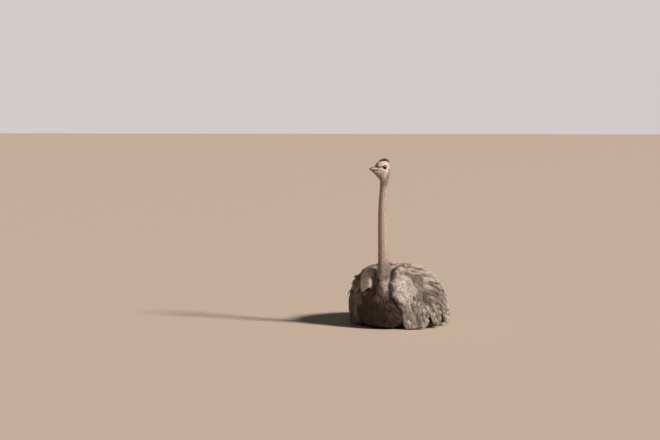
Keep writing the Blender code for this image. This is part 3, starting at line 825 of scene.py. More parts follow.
def make_bill(name, node, upward, finish):
    """One half of the bill, a rounded shell. The upper one has a ridge, side grooves, nostrils and a nail."""
    along = np.linspace(-BILL_ROOT, len(BILL) - 1, BILL_ROWS)
    forward, gape, rise, drop, width = rows_at(BILL, np.maximum(along, 0.0))
    forward = forward + np.minimum(along, 0.0) * ROOT_LENGTH
    inset = 1 - 0.05 * smooth_step(-along / BILL_ROOT)
    angle = np.linspace(0, math.pi, BILL_COLUMNS)
    aside = signed_power(np.cos(angle), BILL_SQUARE) * (width * inset)[:, None]
    away = np.maximum(np.sin(angle), 0.0) ** BILL_SQUARE
    height = (rise if upward else drop)[:, None] * inset[:, None] * away
    ahead = np.repeat(forward[:, None], BILL_COLUMNS, axis=1)
    off = np.abs(aside)
    nostril = np.zeros_like(height)
    if upward:
        ridge = smooth_step((0.098 - ahead) / 0.02) * smooth_step(away * 3 - 1.6)
        height += 0.0009 * ridge * (1 - smooth_step((off - 0.0045) / 0.003))
        height -= 0.0012 * ridge * hump(off, 0.0088, 0.0022) * smooth_step((ahead - 0.045) / 0.01)
        nail = smooth_step((ahead - 0.0955) / 0.003) * smooth_step((0.0085 - off) / 0.002)
        height += 0.0008 * nail * away
        slit = ((ahead - NOSTRIL[0]) / 0.0056) ** 4 + ((off - NOSTRIL[1]) / 0.0019) ** 4
        nostril = np.exp(-slit) * away
        height -= 0.0036 * nostril
        aside = aside + np.sign(aside) * (hump(away, 0.0, 0.25) * 0.0006)
    else:
        height += 0.0006 * hump(off, 0.0, 0.003) * smooth_step((ahead - 0.09) / 0.01)
    sign = 1 if upward else -1
    z = EYE_HEIGHT + gape[:, None] + sign * (GAPE_HALF + np.maximum(height, 0.0))
    half = head_loft(name, np.stack([aside, EYE_Y - ahead, z], axis=-1))
    tip = smooth_step((ahead - 0.088) / 0.014).ravel() * TIP_SHARE
    set_attribute(half.data, "tip", np.append(tip, [0.0, TIP_SHARE]))
    # Painted shade: the nostrils' hollows are marked dark.
    set_attribute(half.data, "hollow", np.append(nostril.ravel(), [0.0, 0.0]))
    stand_for(half, finish, "bill_horn", node)


def make_claws(finish):
    for word, side in SIDES.items():
        start = TOE_JOINT + BIG_TOE_WAY * (TOE_LENGTH + 0.0004) + np.array([0, 0, -0.0005])
        end = start + BIG_TOE_WAY * CLAW_LENGTH
        claw = limb("toe_claw_" + word, start, end, CLAW, side, sides=24, rings=30)
        for marking in ("tip", "hollow"):
            set_attribute(claw.data, marking, np.zeros(len(claw.data.vertices)))
        stand_for(claw, finish, "claw_horn", "claw_" + word)


# ---------------------------------------------------------------------------------------------------------
# Coat shapes: small closed locks, gathered into a plume or a tuft


class LockShape:
    """Gathers closed three-sided locks into one mesh, with their coordinates stored for the coat's tree."""

    def __init__(self, name):
        self.name, self.corners, self.faces, self.strands = name, [], [], []

    def lock(self, path, half_widths, thickness, strand):
        """One lock along a path of (along, across, lift), in shares of the shape, that ends in its tip."""
        path = np.asarray(path, float)
        first = len(self.corners)
        for p, w in zip(path[:-1], half_widths):
            beside = np.array([0.0, w, 0.0])
            self.corners += [p - beside, p + beside, p + [0, 0, thickness * w / max(half_widths)]]
        self.corners.append(path[-1])
        self.strands += [strand] * (len(self.corners) - first)
        tip = len(self.corners) - 1
        self.faces.append((first, first + 1, first + 2))
        for row in range(first, tip, 3):
            for j in range(3):
                a, b = row + j, row + (j + 1) % 3
                self.faces.append((a, a + 3, b + 3, b) if row + 3 < tip else (a, tip, b))

    def made(self):
        corners = np.array(self.corners)
        obj = facing_out(new_object(self.name, corners[:, (1, 0, 2)], self.faces))
        for name, values in zip(("along", "across", "lift", "strand"), (*corners.T, self.strands)):
            set_attribute(obj.data, name, values)
        return obj


PLUME_LOCKS = 9
LOCK_STOPS, LOCK_HALF_WIDTHS, LOCK_THICKNESS = (0.0, 0.36, 0.70, 1.0), (0.10, 0.17, 0.13), 0.10


def plume_shape(name, seed):
    """Part of a loose plume: long soft locks side by side that spread from one root and end raggedly."""
    random = np.random.default_rng(seed)
    shape = LockShape(name)
    middle = (PLUME_LOCKS - 1) / 2
    for i in range(PLUME_LOCKS):
        aside = (i - middle) / middle
        end = 1.0 - 0.22 * abs(aside) - random.uniform(0.0, 0.20)
        wave, rise = random.uniform(-0.16, 0.16), random.uniform(-0.14, 0.22)
        path = []
        for s in LOCK_STOPS:
            spread = aside * (0.25 + 0.75 * math.sin(min(s * 1.25, 1.0) * math.pi / 2))
            path.append((end * s, spread + wave * math.sin(s * 4.5), rise * s * s + 0.05 * (i % 3)))
        shape.lock(path, LOCK_HALF_WIDTHS, LOCK_THICKNESS, random.random())
    return shape.made()


def tuft_shape(name, seed, strands, spread, half_width, lift):
    """A tuft of fine pointed strands from one root, in shares of its length and half width."""
    random = np.random.default_rng(seed)
    shape = LockShape(name)
    for i in range(strands):
        aim = spread * ((i + 0.5) / strands * 2 - 1) + random.uniform(-0.15, 0.15)
        end = random.uniform(0.78, 1.0)
        rise = random.uniform(-lift, lift)
        path = [(end * s, aim * s ** 0.8, rise * s) for s in (0.0, 0.5, 1.0)]
        shape.lock(path, (half_width, half_width * 0.75), half_width * 0.6, random.random())
    return shape.made()


def shape_collection(kind, count, first_seed, make, *sizes):
    """A collection of shapes of one kind, which the coat's tree takes its shapes from."""
    made = bpy.data.collections.new(kind + "_shapes")
    bpy.context.scene.collection.children.link(made)
    for k in range(count):
        shape = make(f"{kind}_shape_{k}", first_seed + k, *sizes)
        bpy.context.scene.collection.objects.unlink(shape)
        made.objects.link(shape)
    return made


# ---------------------------------------------------------------------------------------------------------
# The coat's Geometry Nodes tree

BENDS = ("bend_0", "bend_1", "bend_2", "bend_3")
CARRIED = (*BENDS, "facing_root", "facing_tip")


def coat_tree():
    """Puts a shape at each root, realizes it and bends it along the root's curve."""
    tree = bpy.data.node_groups.new("laid_coat", "GeometryNodeTree")
    given = {}
    for name, kind in (("Roots", "Geometry"), ("Shapes", "Collection"), ("Finish", "Material"),
                       ("Patch Size", "Float"), ("Lowest", "Vector")):
        tree.interface.new_socket(name, in_out="INPUT", socket_type="NodeSocket" + kind)
        given[name] = add(tree, "NodeGroupInput", out=name)
    tree.interface.new_socket("Coat", in_out="OUTPUT", socket_type="NodeSocketGeometry")
    kinds = {"variant": "INT", "along": "FLOAT", "across": "FLOAT", "lift": "FLOAT", "breadth": "FLOAT",
             "place": "FLOAT_VECTOR", **dict.fromkeys(CARRIED, "FLOAT_VECTOR")}
    read = {name: add(tree, "GeometryNodeInputNamedAttribute", {"Name": name}, data_type=kind)
            for name, kind in kinds.items()}

    shapes = add(tree, "GeometryNodeCollectionInfo", {
        "Collection": given["Shapes"], "Separate Children": True, "Reset Children": True})
    instances = add(tree, "GeometryNodeInstanceOnPoints", {
        "Points": given["Roots"], "Instance": shapes, "Pick Instance": True,
        "Instance Index": read["variant"]})
    whole = add(tree, "GeometryNodeRealizeInstances", {0: instances})

    # The curve's point, by mixing neighbours four, three and two at a time.
    along, line = read["along"], [read[name] for name in BENDS]
    while len(line) > 1:
        early, late = line[0], line[-1]
        line = [add(tree, "ShaderNodeMix", {0: along, 4: first, 5: second}, out=1, data_type="VECTOR")
                for first, second in zip(line, line[1:])]
    facing = {0: along, 4: read["facing_root"], 5: read["facing_tip"]}
    facing = add(tree, "ShaderNodeMix", facing, out=1, data_type="VECTOR")
    onward = add(tree, "ShaderNodeVectorMath", {0: late, 1: early}, operation="SUBTRACT")
    aside = add(tree, "ShaderNodeVectorMath", {0: onward, 1: facing}, operation="CROSS_PRODUCT")
    above = add(tree, "ShaderNodeVectorMath", {0: aside, 1: onward}, operation="CROSS_PRODUCT")
    laid = line[0]
    for direction, share in ((aside, "across"), (above, "lift")):
        level = add(tree, "ShaderNodeVectorMath", {0: direction}, operation="NORMALIZE")
        size = add(tree, "ShaderNodeMath", {0: read[share], 1: read["breadth"]}, operation="MULTIPLY")
        moved = add(tree, "ShaderNodeVectorMath", {0: level, "Scale": size}, operation="SCALE")
        laid = add(tree, "ShaderNodeVectorMath", {0: laid, 1: moved}, operation="ADD")
    laid = add(tree, "ShaderNodeVectorMath", {0: laid, 1: given["Lowest"]}, operation="MAXIMUM")
    bent = add(tree, "GeometryNodeSetPosition", {"Geometry": whole, "Position": laid})

    # Each shape's own small patch of the unwrap.
    in_patch = add(tree, "ShaderNodeMath", {0: read["across"], 1: 0.5, 2: 0.5}, operation="MULTIPLY_ADD")
    in_patch = add(tree, "ShaderNodeCombineXYZ", {0: in_patch, 1: along})
    patch = add(tree, "ShaderNodeVectorMath", {0: in_patch, "Scale": given["Patch Size"]}, operation="SCALE")
    patch = add(tree, "ShaderNodeVectorMath", {0: patch, 1: read["place"]}, operation="ADD")
    unwrap = {"Geometry": bent, "Name": "OFBake", "Value": patch}
    mapped = add(tree, "GeometryNodeStoreNamedAttribute", unwrap, data_type="FLOAT2", domain="CORNER")
    finished = add(tree, "GeometryNodeSetMaterial", {"Geometry": mapped, "Material": given["Finish"]})
    add(tree, "NodeGroupOutput", {0: finished})
    return tree


TREE = coat_tree()
PATCH_SIZE = 0.003  # side of each shape's patch of the unwrap
LOWEST = (-9.0, -9.0, 0.0008)  # nothing of the coat goes under the floor


def grow(name, roots, shapes, finish):
    """One coat piece from its roots, a dict of arrays, as a plain mesh."""
    source = new_object(name + "_roots", roots["bend_0"], [], smooth=False)
    place = np.pad(roots["place"], ((0, 0), (0, 1)))
    for key, values in (*((key, roots[key]) for key in CARRIED), ("place", place)):
        set_attribute(source.data, key, values, "FLOAT_VECTOR")
    set_attribute(source.data, "variant", roots["variant"], "INT")
    for key in ("breadth", "tone", "fringe", "pale", "brown"):
        set_attribute(source.data, key, roots[key])
    modifier = source.modifiers.new("coat", "NODES")
    modifier.node_group = TREE
    values = {"Shapes": shapes, "Finish": finish, "Patch Size": PATCH_SIZE, "Lowest": LOWEST}
    for socket in TREE.interface.items_tree:
        if socket.in_out == "INPUT" and socket.name in values:
            modifier[socket.identifier] = values[socket.name]
    graph = bpy.context.evaluated_depsgraph_get()
    grown = bpy.data.meshes.new_from_object(source.evaluated_get(graph), depsgraph=graph)
    bpy.data.objects.remove(source)
    for key in (*CARRIED, "place", "variant", "breadth", "lift"):
        grown.attributes.remove(grown.attributes[key])
    grown.name = name
    piece = in_scene(bpy.data.objects.new(name, grown))
    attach(piece, "root")


# ---------------------------------------------------------------------------------------------------------
# Laying the coat: roots, and the short curves that the plumes follow

LAY_FLOOR = 0.0015  # the lowest that a curve goes
AXIS_HEIGHT, AXIS_FRONT, AXIS_REAR = 0.18, -0.26, 0.20  # of the trunk, in the model's own frame


def trunk_axis(points):
    """A point within the trunk, level with each given point along the body but short of its two ends."""
    return rows_of(-MIDDLE_X, np.clip(points[:, 1], AXIS_FRONT, AXIS_REAR), AXIS_HEIGHT)


def neck_axis(points):
    """A point on the neck's upright axis, just below each given point."""
    return rows_of(-MIDDLE_X, NECK_TOP_Y - MIDDLE_Y, points[:, 2] - 0.01)


def curves_of(bends, facing_root, facing_tip):
    """The curves of a piece's roots, as the coat's tree reads them."""
    return {**dict(zip(BENDS, bends)), "facing_root": facing_root, "facing_tip": facing_tip}


def lay(surface, inside, a, b, way, length, sink_root, sink_tip, settle=1.6):
    """Curves over a surface from roots at (a, b): each goes its way for its length, rising from sink_root
    under the coat's outer surface to sink_tip, the sooner the higher settle is."""
    stops, facings = [], []
    a, b = np.array(a, float), np.array(b, float)
    for k in range(4):
        share = k / 3
        point, normal, along_a, along_b = slopes(surface, a, b, inside)
        sink = sink_tip + (sink_root - sink_tip) * (1 - share) ** settle
        stops.append(point - normal * np.broadcast_to(sink, len(a))[:, None])
        facings.append(normal)
        onward = way(normal, a, b)
        onward = unit(onward - normal * np.sum(onward * normal, axis=1, keepdims=True))
        step = onward * (length / 3)[:, None]
        # The step in the surface's own coordinates, by least squares.
        aa, ab, bb = (np.sum(u * v, axis=1)
                      for u, v in ((along_a, along_a), (along_a, along_b), (along_b, along_b)))
        sa, sb = np.sum(along_a * step, axis=1), np.sum(along_b * step, axis=1)
        solid = np.maximum(aa * bb - ab * ab, 1e-9)
        a = a + np.clip((bb * sa - ab * sb) / solid, -1.0, 1.0)
        b = b + np.clip((aa * sb - ab * sa) / solid, -0.5, 0.5)
    q0, q1, q2, q3 = stops
    # The Bezier curve that passes through all four.
    bends = (q0, (-5 * q0 + 18 * q1 - 9 * q2 + 2 * q3) / 6, (2 * q0 - 9 * q1 + 18 * q2 - 5 * q3) / 6, q3)
    for bend in bends:
        bend[:, 2] = np.maximum(bend[:, 2], LAY_FLOOR)
    return curves_of(bends, facings[0], facings[3])


def scattered(random, rows, columns, a_range, b_range, spill=0.45):
    """Jittered, staggered places over a range of both coordinates."""
    a, b = np.meshgrid(np.arange(rows) + 0.5, np.arange(columns) + 0.5, indexing="ij")
    a = a + random.uniform(-spill, spill, a.shape)
    b = b + 0.5 * (np.arange(rows) % 2)[:, None] + random.uniform(-spill, spill, b.shape)
    a = a_range[0] + (a_range[1] - a_range[0]) * a / rows
    b = b_range[0] + (b_range[1] - b_range[0]) * b / columns
    return a.ravel(), b.ravel()


# One seed for each piece of random work. The body's patches count up from theirs.
SEEDS = {"wing_left": 11, "wing_right": 12, "underwing": 15, "mantle_left": 31, "mantle_right": 32,
         "body": 40, "neck": 70, "crown": 71, "lashes": 80}
PLUME_HALF, PLUME_REACH = 0.017, 0.085  # half width and length of a plume's showing part
PLUME_EDGE = 1.4  # how far outside its plume's outline a tuft may count as being


def gathered(random, along, across, lie, spacing):
    """Gathers tufts into plumes. along and across are the roots' places in metres over the surface, lie is
    each root's heading in that plane, and spacing is how far apart the plumes lie. Gives the number of plumes
    and, for each root, its plume, how far aside in the plume it is, how far the plume stands up, the plume's
    tone, how high the root is on the plume's arch, and how much of it is fringe."""
    ranges = [(places.min(), places.max()) for places in (along, across)]
    rows, columns = (max(int((high - low) / gap), 2) for (low, high), gap in zip(ranges, spacing))
    middle_along, middle_across = scattered(random, rows, columns, *ranges, spill=0.4)
    plumes = len(middle_along)
    da, db = along[:, None] - middle_along[None], across[:, None] - middle_across[None]
    c, s = np.cos(lie)[:, None], np.sin(lie)[:, None]
    ahead, aside = (da * c + db * s) / PLUME_REACH, (db * c - da * s) / PLUME_HALF
    plume = np.argmin(ahead ** 2 + aside ** 2, axis=1)
    roots = np.arange(len(along))
    aside, ahead = (np.clip(off[roots, plume], -PLUME_EDGE, PLUME_EDGE) for off in (aside, ahead))
    lift = random.uniform(-1, 1, plumes)[plume]
    tone = random.uniform(0, 1, plumes)[plume]
    arch = 1 - np.minimum(aside ** 2, 1.0)
    fringe = smooth_step((np.hypot(aside, np.maximum(ahead, 0)) - 0.45) / 0.55)
    return plumes, plume, aside, lift, tone, arch, fringe


UNWRAP_EDGE, UNWRAP_LENGTH = 0.01, 0.97
SWEEP_BAND, WING_BAND = 0.46, 0.21  # breadths in the unwrap
WING_BAND_STARTS = {"left": 0.52, "right": 0.77}


def body_place(t, angle):
    """The unwrap of the sweep: along the body, and round it."""
    return rows_of(UNWRAP_EDGE + UNWRAP_LENGTH * t / TAIL_TIPS,
                   UNWRAP_EDGE + SWEEP_BAND * (angle % math.tau) / math.tau)


def wing_place(word, run, share):
    """The unwrap of a wing: from front to rear, and down it."""
    return rows_of(UNWRAP_EDGE + UNWRAP_LENGTH * run,
                   WING_BAND_STARTS[word] + WING_BAND * np.clip(share, 0, 1))


def details(random, count, breadth, place, variants=3, **shares):
    """The numbers that each root carries apart from its curve. Shares are of its looks, from 0 to 1."""
    shares = {"tone": random.uniform(0, 1, count), "fringe": 0.0, "pale": 0.0, "brown": 0.0, **shares}
    return {
        "breadth": np.broadcast_to(breadth, count) * random.uniform(0.82, 1.18, count),
        "variant": random.integers(0, variants, count),
        "place": place,
        **{key: np.broadcast_to(value, count) for key, value in shares.items()},
    }


# ---------------------------------------------------------------------------------------------------------
# The wings' plumes

# Bands down each wing: name, rows, columns, shares of the way down, length, half width, depth at the root.
WING_BANDS = (
    ("shoulder", 28, 34, (-0.02, 0.40), 0.098, 0.0130, 0.026),
    ("covert", 27, 34, (0.24, 0.76), 0.140, 0.0135, 0.030),
    ("hanging", 24, 34, (0.52, 0.95), 0.185, 0.0145, 0.034),
)
WING_LONG, WING_DEEP = 0.72, 0.56  # metres along the wing and down over it, for the plumes' sizes
WING_SPACING = (0.052, 0.036)  # between plumes, along them and across
STRAYS = {"left": (0.05, 0.010), "right": (0.09, 0.019)}  # share of wisps that stand off, and how far
DOWN_AND_BACK = np.array([0.0, 0.35, -1.0])  # the way that the underwing's plumes hang
SHORTEST = 0.03  # length of a wing's shortest tufts
HEM_HEIGHT = 0.004  # of the lowest tips, over the floor
HEM_HOLLOWS = ((0.300, 0.044, 0.100), (0.450, 0.045, 0.105), (0.640, 0.060, 0.115))  # run, half width, height


def wing_hem(word, run):
    """How high the lowest tips end. Her left wing opens hollows between bundles that hang to the floor."""
    hem = np.full(len(run), HEM_HEIGHT)
    if word == "left":
        hem += sum(height * np.exp(-((run - middle) / half) ** 4) for middle, half, height in HEM_HOLLOWS)
    return hem


def grow_wing(word, side, shapes, finish):
    """One drooped wing in bands: small coverts over the shoulder, then longer plumes down to the floor."""
    random = np.random.default_rng(SEEDS["wing_" + word])
    surface = wing_surface(side)

    def lie_at(run, share):
        """How steeply a plume hangs: nearly level at the top edge, nearly upright at the floor."""
        steep = np.radians(12 + 66 * smooth_step(share * 1.08) + 16 * np.maximum(run - 0.55, 0))
        steep = steep + np.radians(28) * (1 - run) ** 3 * (1 - share)
        return steep + np.radians(11) * ripple(run * 4.0, share * 3.0, 3 + side)

    for band, rows, columns, shares, reach, half, sink in WING_BANDS:
        share, run = scattered(random, rows, columns, shares, (0.0, 0.99))
        count = len(run)
        lie = lie_at(run, share)
        plumes, plume, aside, lift, tone, arch, fringe = gathered(
            random, run * WING_LONG, share * WING_DEEP, lie, WING_SPACING)
        turn = (np.radians(9) * random.uniform(-1, 1, plumes))[plume] - 0.10 * aside

        def way(normal, a, b):
            steep = np.clip(lie_at(a, b) + turn, 0.0, math.pi / 2)
            return rows_of(0.0, np.cos(steep), -np.sin(steep))

        # A plume is no longer than the room between its root and the hem below its tip.
        root_height = surface(run, share)[:, 2]
        steepness = np.maximum(np.sin(np.minimum(lie + 0.25, 1.5)), 0.2)
        fall = np.minimum(reach, root_height / steepness)
        tip_run = run + fall * np.cos(np.minimum(lie + 0.12, 1.5)) / WING_LONG
        room = (root_height - wing_hem(word, tip_run)) / steepness
        length = reach * (0.86 + 0.30 * random.random(count)) * (0.72 + 0.28 * smooth_step(run / 0.15))
        length = np.clip(np.minimum(length, room * random.uniform(0.92, 1.12, count)), SHORTEST, None)
        stray_share, stray_out = STRAYS[word]
        stray = random.random(count) < stray_share
        tip = 0.012 - 0.009 * lift - 0.007 * arch + random.uniform(-0.002, 0.002, count)
        curves = lay(surface, trunk_axis, run, np.clip(share, 0.0, 0.97), way, length,
                     sink - 0.006 * lift, tip - stray_out * stray)

        # Painted light: the plumes are painted paler at the front edge and low down, where the light falls,
        # and they are paler towards the rear. Painted shade: her right wing, turned away from the light, is
        # painted darker.
        front = 1.2 * hump(run, 0.05, 0.13) * smooth_step((0.85 - share) / 0.3)
        rear = hump(run, 0.72, 0.22) * smooth_step((1.0 - share) / 0.3)
        pale = np.minimum(0.7 * front + 0.70 * smooth_step((share - 0.5) / 0.4) + 0.9 * rear, 0.95)
        # Painted shade on the far wing: its tone and paleness are cut.
        if side < 0:
            tone, pale = 0.75 * tone, 0.3 * pale * smooth_step(run / 0.3)
        place = wing_place(word, run, share)
        roots = curves | details(random, count, half, place, tone=tone, fringe=0.6 * fringe, pale=pale)
        # Curves that crowd up where the surface ends at the wing's front edge are left out.
        keep = (room > 0.015) & (np.linalg.norm(curves["bend_3"] - curves["bend_0"], axis=1) > 0.6 * length)
        roots = {key: values[keep] for key, values in roots.items()}
        grow(f"{band}_plumes_{word}", roots, shapes, finish)


def grow_underwing(shapes, finish):
    """Painted shade: dark plumes behind the hollows in her left wing's hem, down to the floor, for the shade
    inside them.
    """
    random = np.random.default_rng(SEEDS["underwing"])
    surface = wing_surface(SIDES["left"])
    share, run = scattered(random, 7, 22, (0.66, 0.94), (0.20, 0.78))
    length = np.clip((surface(run, share)[:, 2] - HEM_HEIGHT) * 1.05, SHORTEST, 0.17)
    curves = lay(surface, trunk_axis, run, share, lambda *_: DOWN_AND_BACK, length, 0.062, 0.040)
    # Painted shade: near black brown, for the shade in the hollows.
    carried = details(random, len(run), 0.018, wing_place("left", run, share), tone=0.1, brown=1.0)
    grow("underwing_plumes_left", curves | carried, shapes, finish)


# The mantle from the neck's foot over each wing's shoulder: beside the neck (x, y, z), over the wing
# (x, y, z), in rows from low in front to high behind.
MANTLE = {
    "left": [
        (0.090, -0.092, 0.262, 0.180, -0.084, 0.190),
        (0.078, -0.060, 0.330, 0.200, -0.058, 0.270),
        (0.064, -0.014, 0.388, 0.220, -0.014, 0.338),
        (0.054, 0.040, 0.428, 0.235, 0.060, 0.385),
    ],
    "right": [
        (-0.050, -0.090, 0.278, -0.112, -0.098, 0.292),
        (-0.052, -0.064, 0.328, -0.130, -0.070, 0.345),
        (-0.056, -0.016, 0.372, -0.150, -0.018, 0.392),
        (-0.062, 0.060, 0.402, -0.172, 0.070, 0.424),
    ],
}
MANTLE_CROWN = 0.026  # how far its middle stands over straight lines
MANTLE_SIZES = {"left": (15, 0.17, 0.090), "right": (10, 0.10, 0.066)}  # columns, breadth, plumes' length
MANTLE_LONG = 0.20  # metres from front to back
MANTLE_LIE = 1.4  # the plumes' heading, for their gathering: nearly straight out from the neck
MANTLE_SPACING = (0.036, 0.030)
# The plumes' way for each metre outwards: towards the tail, how far that wanders, and down.
MANTLE_BACK, MANTLE_WANDER, MANTLE_FALL = 0.15, 0.45, [0.0, 0.0, -0.25]


def mantle_surface(word):
    """The mantle's surface, over a run from front to back and a share from the neck outwards."""
    def surface(run, share):
        run, share = np.broadcast_arrays(np.clip(run, -0.1, 1.0), np.clip(share, -0.2, 1.4))
        rows = rows_at(MANTLE[word], run * (len(MANTLE[word]) - 1))
        near, far = rows_of(*rows[:3]), rows_of(*rows[3:])
        crown = MANTLE_CROWN * np.sin(math.pi * np.clip(share, 0, 1)) - 0.10 * np.maximum(share - 1, 0)
        return placed(near + (far - near) * share[:, None] + rows_of(0.0, -0.25 * crown, crown))
    return surface


def grow_mantle(word, side, shapes, finish):
    """Plumes that lie from the neck's foot out over the wing's shoulder, painted pale as painted light."""
    random = np.random.default_rng(SEEDS["mantle_" + word])
    surface = mantle_surface(word)

    def way(normal, run, share):
        out, back = heading(surface, run, share, 0.0, 0.05), heading(surface, run, share, 0.05, 0.0)
        backwards = MANTLE_BACK + MANTLE_WANDER * ripple(run * 1.6, share * 1.6, 6)
        return out + back * backwards[:, None] + MANTLE_FALL

    columns, breadth, reach = MANTLE_SIZES[word]
    run, share = scattered(random, 24, columns, (-0.02, 1.0), (-0.1, 1.0))
    count = len(run)
    _, _, _, lift, tone, arch, fringe = gathered(
        random, run * MANTLE_LONG, share * breadth, np.full(count, MANTLE_LIE), MANTLE_SPACING)
    length = reach * random.uniform(0.75, 1.3, count)
    sink = 0.008 + 0.009 * smooth_step((share + 0.1) / 0.4)
    curves = lay(surface, trunk_axis, run, share, way, length, sink, 0.004 - 0.006 * lift - 0.004 * arch)
    place = body_place(22.9 - 2.2 * run, side * (2.25 - 1.15 * run) + 0.08 * share)
    # Painted light: the left mantle is paler towards the front, and the right one is paled, where the light
    # falls on the shoulders.
    pale = smooth_step((0.85 - run) / 0.5) if side > 0 else smooth_step(0.25 + 1.1 * tone)
    carried = details(random, count, 0.0130, place, tone=0.25 + 0.75 * tone, fringe=0.7 * fringe, pale=pale)
    grow("mantle_plumes_" + word, curves | carried, shapes, finish)


# ---------------------------------------------------------------------------------------------------------
# The body's plumes, the neck's down, and the head's bristles and lashes


def tailward(normal, t, angle):
    """The way along the body towards the tail, with a slight wander."""
    ahead = heading(body_surface, t, angle, 0.05, 0.0)
    return ahead + np.cross(normal, ahead) * (0.22 * ripple(t * 1.1, angle * 1.3, 5))[:, None]


def downward(normal, t, angle):
    return tailward(normal, t, angle) * 0.45 + np.array([0.0, 0.0, -1.0])


# Patches of the body: name, rows, columns, stations, quarter turns, length, half width, share of the coat's
# depth at the root, way, how brown it is (past 1, painted shade on the flanks and under the tail), slot.
BODY_PATCHES = (
    ("ruff", 15, 32, (20.9, 22.6), (-2.0, 2.0), 0.062, 0.0090, 0.75, tailward, 1.0, "body_plumage"),
    ("breast", 22, 36, (21.7, 25.8), (1.05, 2.95), 0.110, 0.0132, 0.70, downward, 1.0, "body_plumage"),
    ("back", 28, 20, (22.0, 31.2), (-0.72, 0.72), 0.135, 0.0140, 0.65, tailward, 0.0, "body_plumage"),
    ("flank_left", 16, 12, (24.6, 31.0), (0.70, 1.55), 0.150, 0.018, 0.60, downward, 1.6, "body_plumage"),
    ("flank_right", 16, 12, (24.6, 31.0), (-1.55, -0.70), 0.150, 0.018, 0.60, downward, 1.6, "body_plumage"),
    ("tail", 25, 36, (30.4, 34.4), (-1.25, 1.25), 0.185, 0.0160, 0.62, tailward, 0.0, "tail_plumes"),
    ("tail_under", 12, 18, (30.8, 34.4), (1.3, 2.7), 0.150, 0.018, 0.60, tailward, 1.6, "tail_plumes"),
)
STATION_LENGTH = 0.085  # metres to a station, about
GIRTHS = ([20, 22, 24, 27, 31, 34], [0.05, 0.09, 0.17, 0.21, 0.16, 0.13])  # stations, metres to a radian
BODY_SPACING = (0.055, 0.034)
DEEPEST_ROOTS = 32.0  # station past which roots lie no deeper


def grow_body(shapes, finish):
    """Plumes of the neck's foot, breast, back, flanks and tail."""
    for index, patch in enumerate(BODY_PATCHES):
        name, rows, columns, stations, quarters, reach, half, rooted, way, brown_and_shade, slot = patch
        random = np.random.default_rng(SEEDS["body"] + index)
        t, angle = scattered(random, rows, columns, stations, [q * math.pi / 2 for q in quarters])
        count = len(t)
        _, _, _, lift, tone, arch, fringe = gathered(
            random, t * STATION_LENGTH, angle * np.interp(t, *GIRTHS), np.zeros(count), BODY_SPACING)
        depth = body_depth(np.minimum(t, DEEPEST_ROOTS), angle) * rooted
        length = reach * random.uniform(0.82, 1.16, count)
        tip = 0.008 - 0.004 * lift - 0.005 * arch + random.uniform(-0.002, 0.002, count)
        curves = lay(body_surface, trunk_axis, t, angle, way, length, depth, tip)
        # The breast is brown. Painted light: the neck's foot is painted pale on her left side, which faces
        # the light, and the breast's brown is left off there.
        painted_lit_foot = smooth_step((np.sin(angle) + 0.1) / 0.7) * smooth_step((22.3 - t) / 1.0)
        breast = smooth_step((t - 20.8) / 1.6) * smooth_step((27.5 - t) / 2.5)
        breast = breast * smooth_step((0.5 - np.cos(angle)) / 0.7)
        # Past 1, the brown is painted shade for the flanks and the tail's underside, in the wing's hollows.
        brown = np.clip(brown_and_shade * breast * (1 - painted_lit_foot) + max(brown_and_shade - 1, 0), 0, 1) * 0.88
        pale = 0.6 * painted_lit_foot * smooth_step((t - 20.0) / 1.0)
        carried = details(random, count, half, body_place(t, angle), tone=tone, fringe=0.7 * fringe,
                          brown=brown, pale=pale)
        grow(name + "_plumes", curves | carried, shapes, finish)


def grow_neck_down(shapes, finish):
    """Thin down on the neck, longer and looser at its foot."""
    random = np.random.default_rng(SEEDS["neck"])
    t, angle = scattered(random, 150, 27, (9.6, 21.7), (-math.pi, math.pi))
    count = len(t)
    foot = smooth_step((t - 18.6) / 2.0)
    length = (0.0180 + 0.020 * foot) * random.uniform(0.75, 1.2, count)
    depth = body_depth(t, angle)
    tip = 0.5 * depth + 0.0010 * foot
    curves = lay(body_surface, neck_axis, t, angle, tailward, length, depth, tip, settle=1.1)
    back = smooth_step((np.cos(angle) + 0.2) / 0.8) * smooth_step((17 - t) / 5)
    carried = details(random, count, 0.0033 + 0.0044 * foot, body_place(t, angle), 2,
                      brown=0.08 + 0.10 * foot + 0.12 * back)
    grow("neck_down", curves | carried, shapes, finish)


def grow_crown(shapes, finish):
    """Brown bristles over the crown, from short ones on the brow to a full mop behind."""
    random = np.random.default_rng(SEEDS["crown"])
    t, angle = scattered(random, 104, 92, (3.6, 12.6), (-0.62 * math.pi, 0.62 * math.pi))
    forward, up, _ = from_eyes(sweep(t, angle, drawn_in=True)[0])
    grows = crown_share(forward, up)
    keep = random.uniform(0, 1, len(t)) < grows
    t, angle, forward, grows = (values[keep] for values in (t, angle, forward, grows))
    count = len(t)
    depth = body_depth(t, angle)
    length = np.maximum(depth * 1.6, 0.006) * random.uniform(0.8, 1.2, count)
    taper = 0.3 + 0.7 * smooth_step((0.036 - forward) / 0.034)
    stand = 0.0085 * taper * grows * smooth_step((depth - 0.005) / 0.005)
    curves = lay(body_surface, neck_axis, t, angle, tailward, length, depth, 0.0004 - stand, settle=1.0)
    carried = details(random, count, 0.0017 + 0.0007 * grows, body_place(t, angle), 2,
                      brown=0.35 + 0.6 * grows)
    grow("crown_bristles", curves | carried, shapes, finish)


LASHES = 30  # on each upper lid
LASH_STOPS = ((0.0, 0.0), (0.35, 0.0), (0.75, 0.0008), (1.0, 0.0028))  # share of the length, upward curl


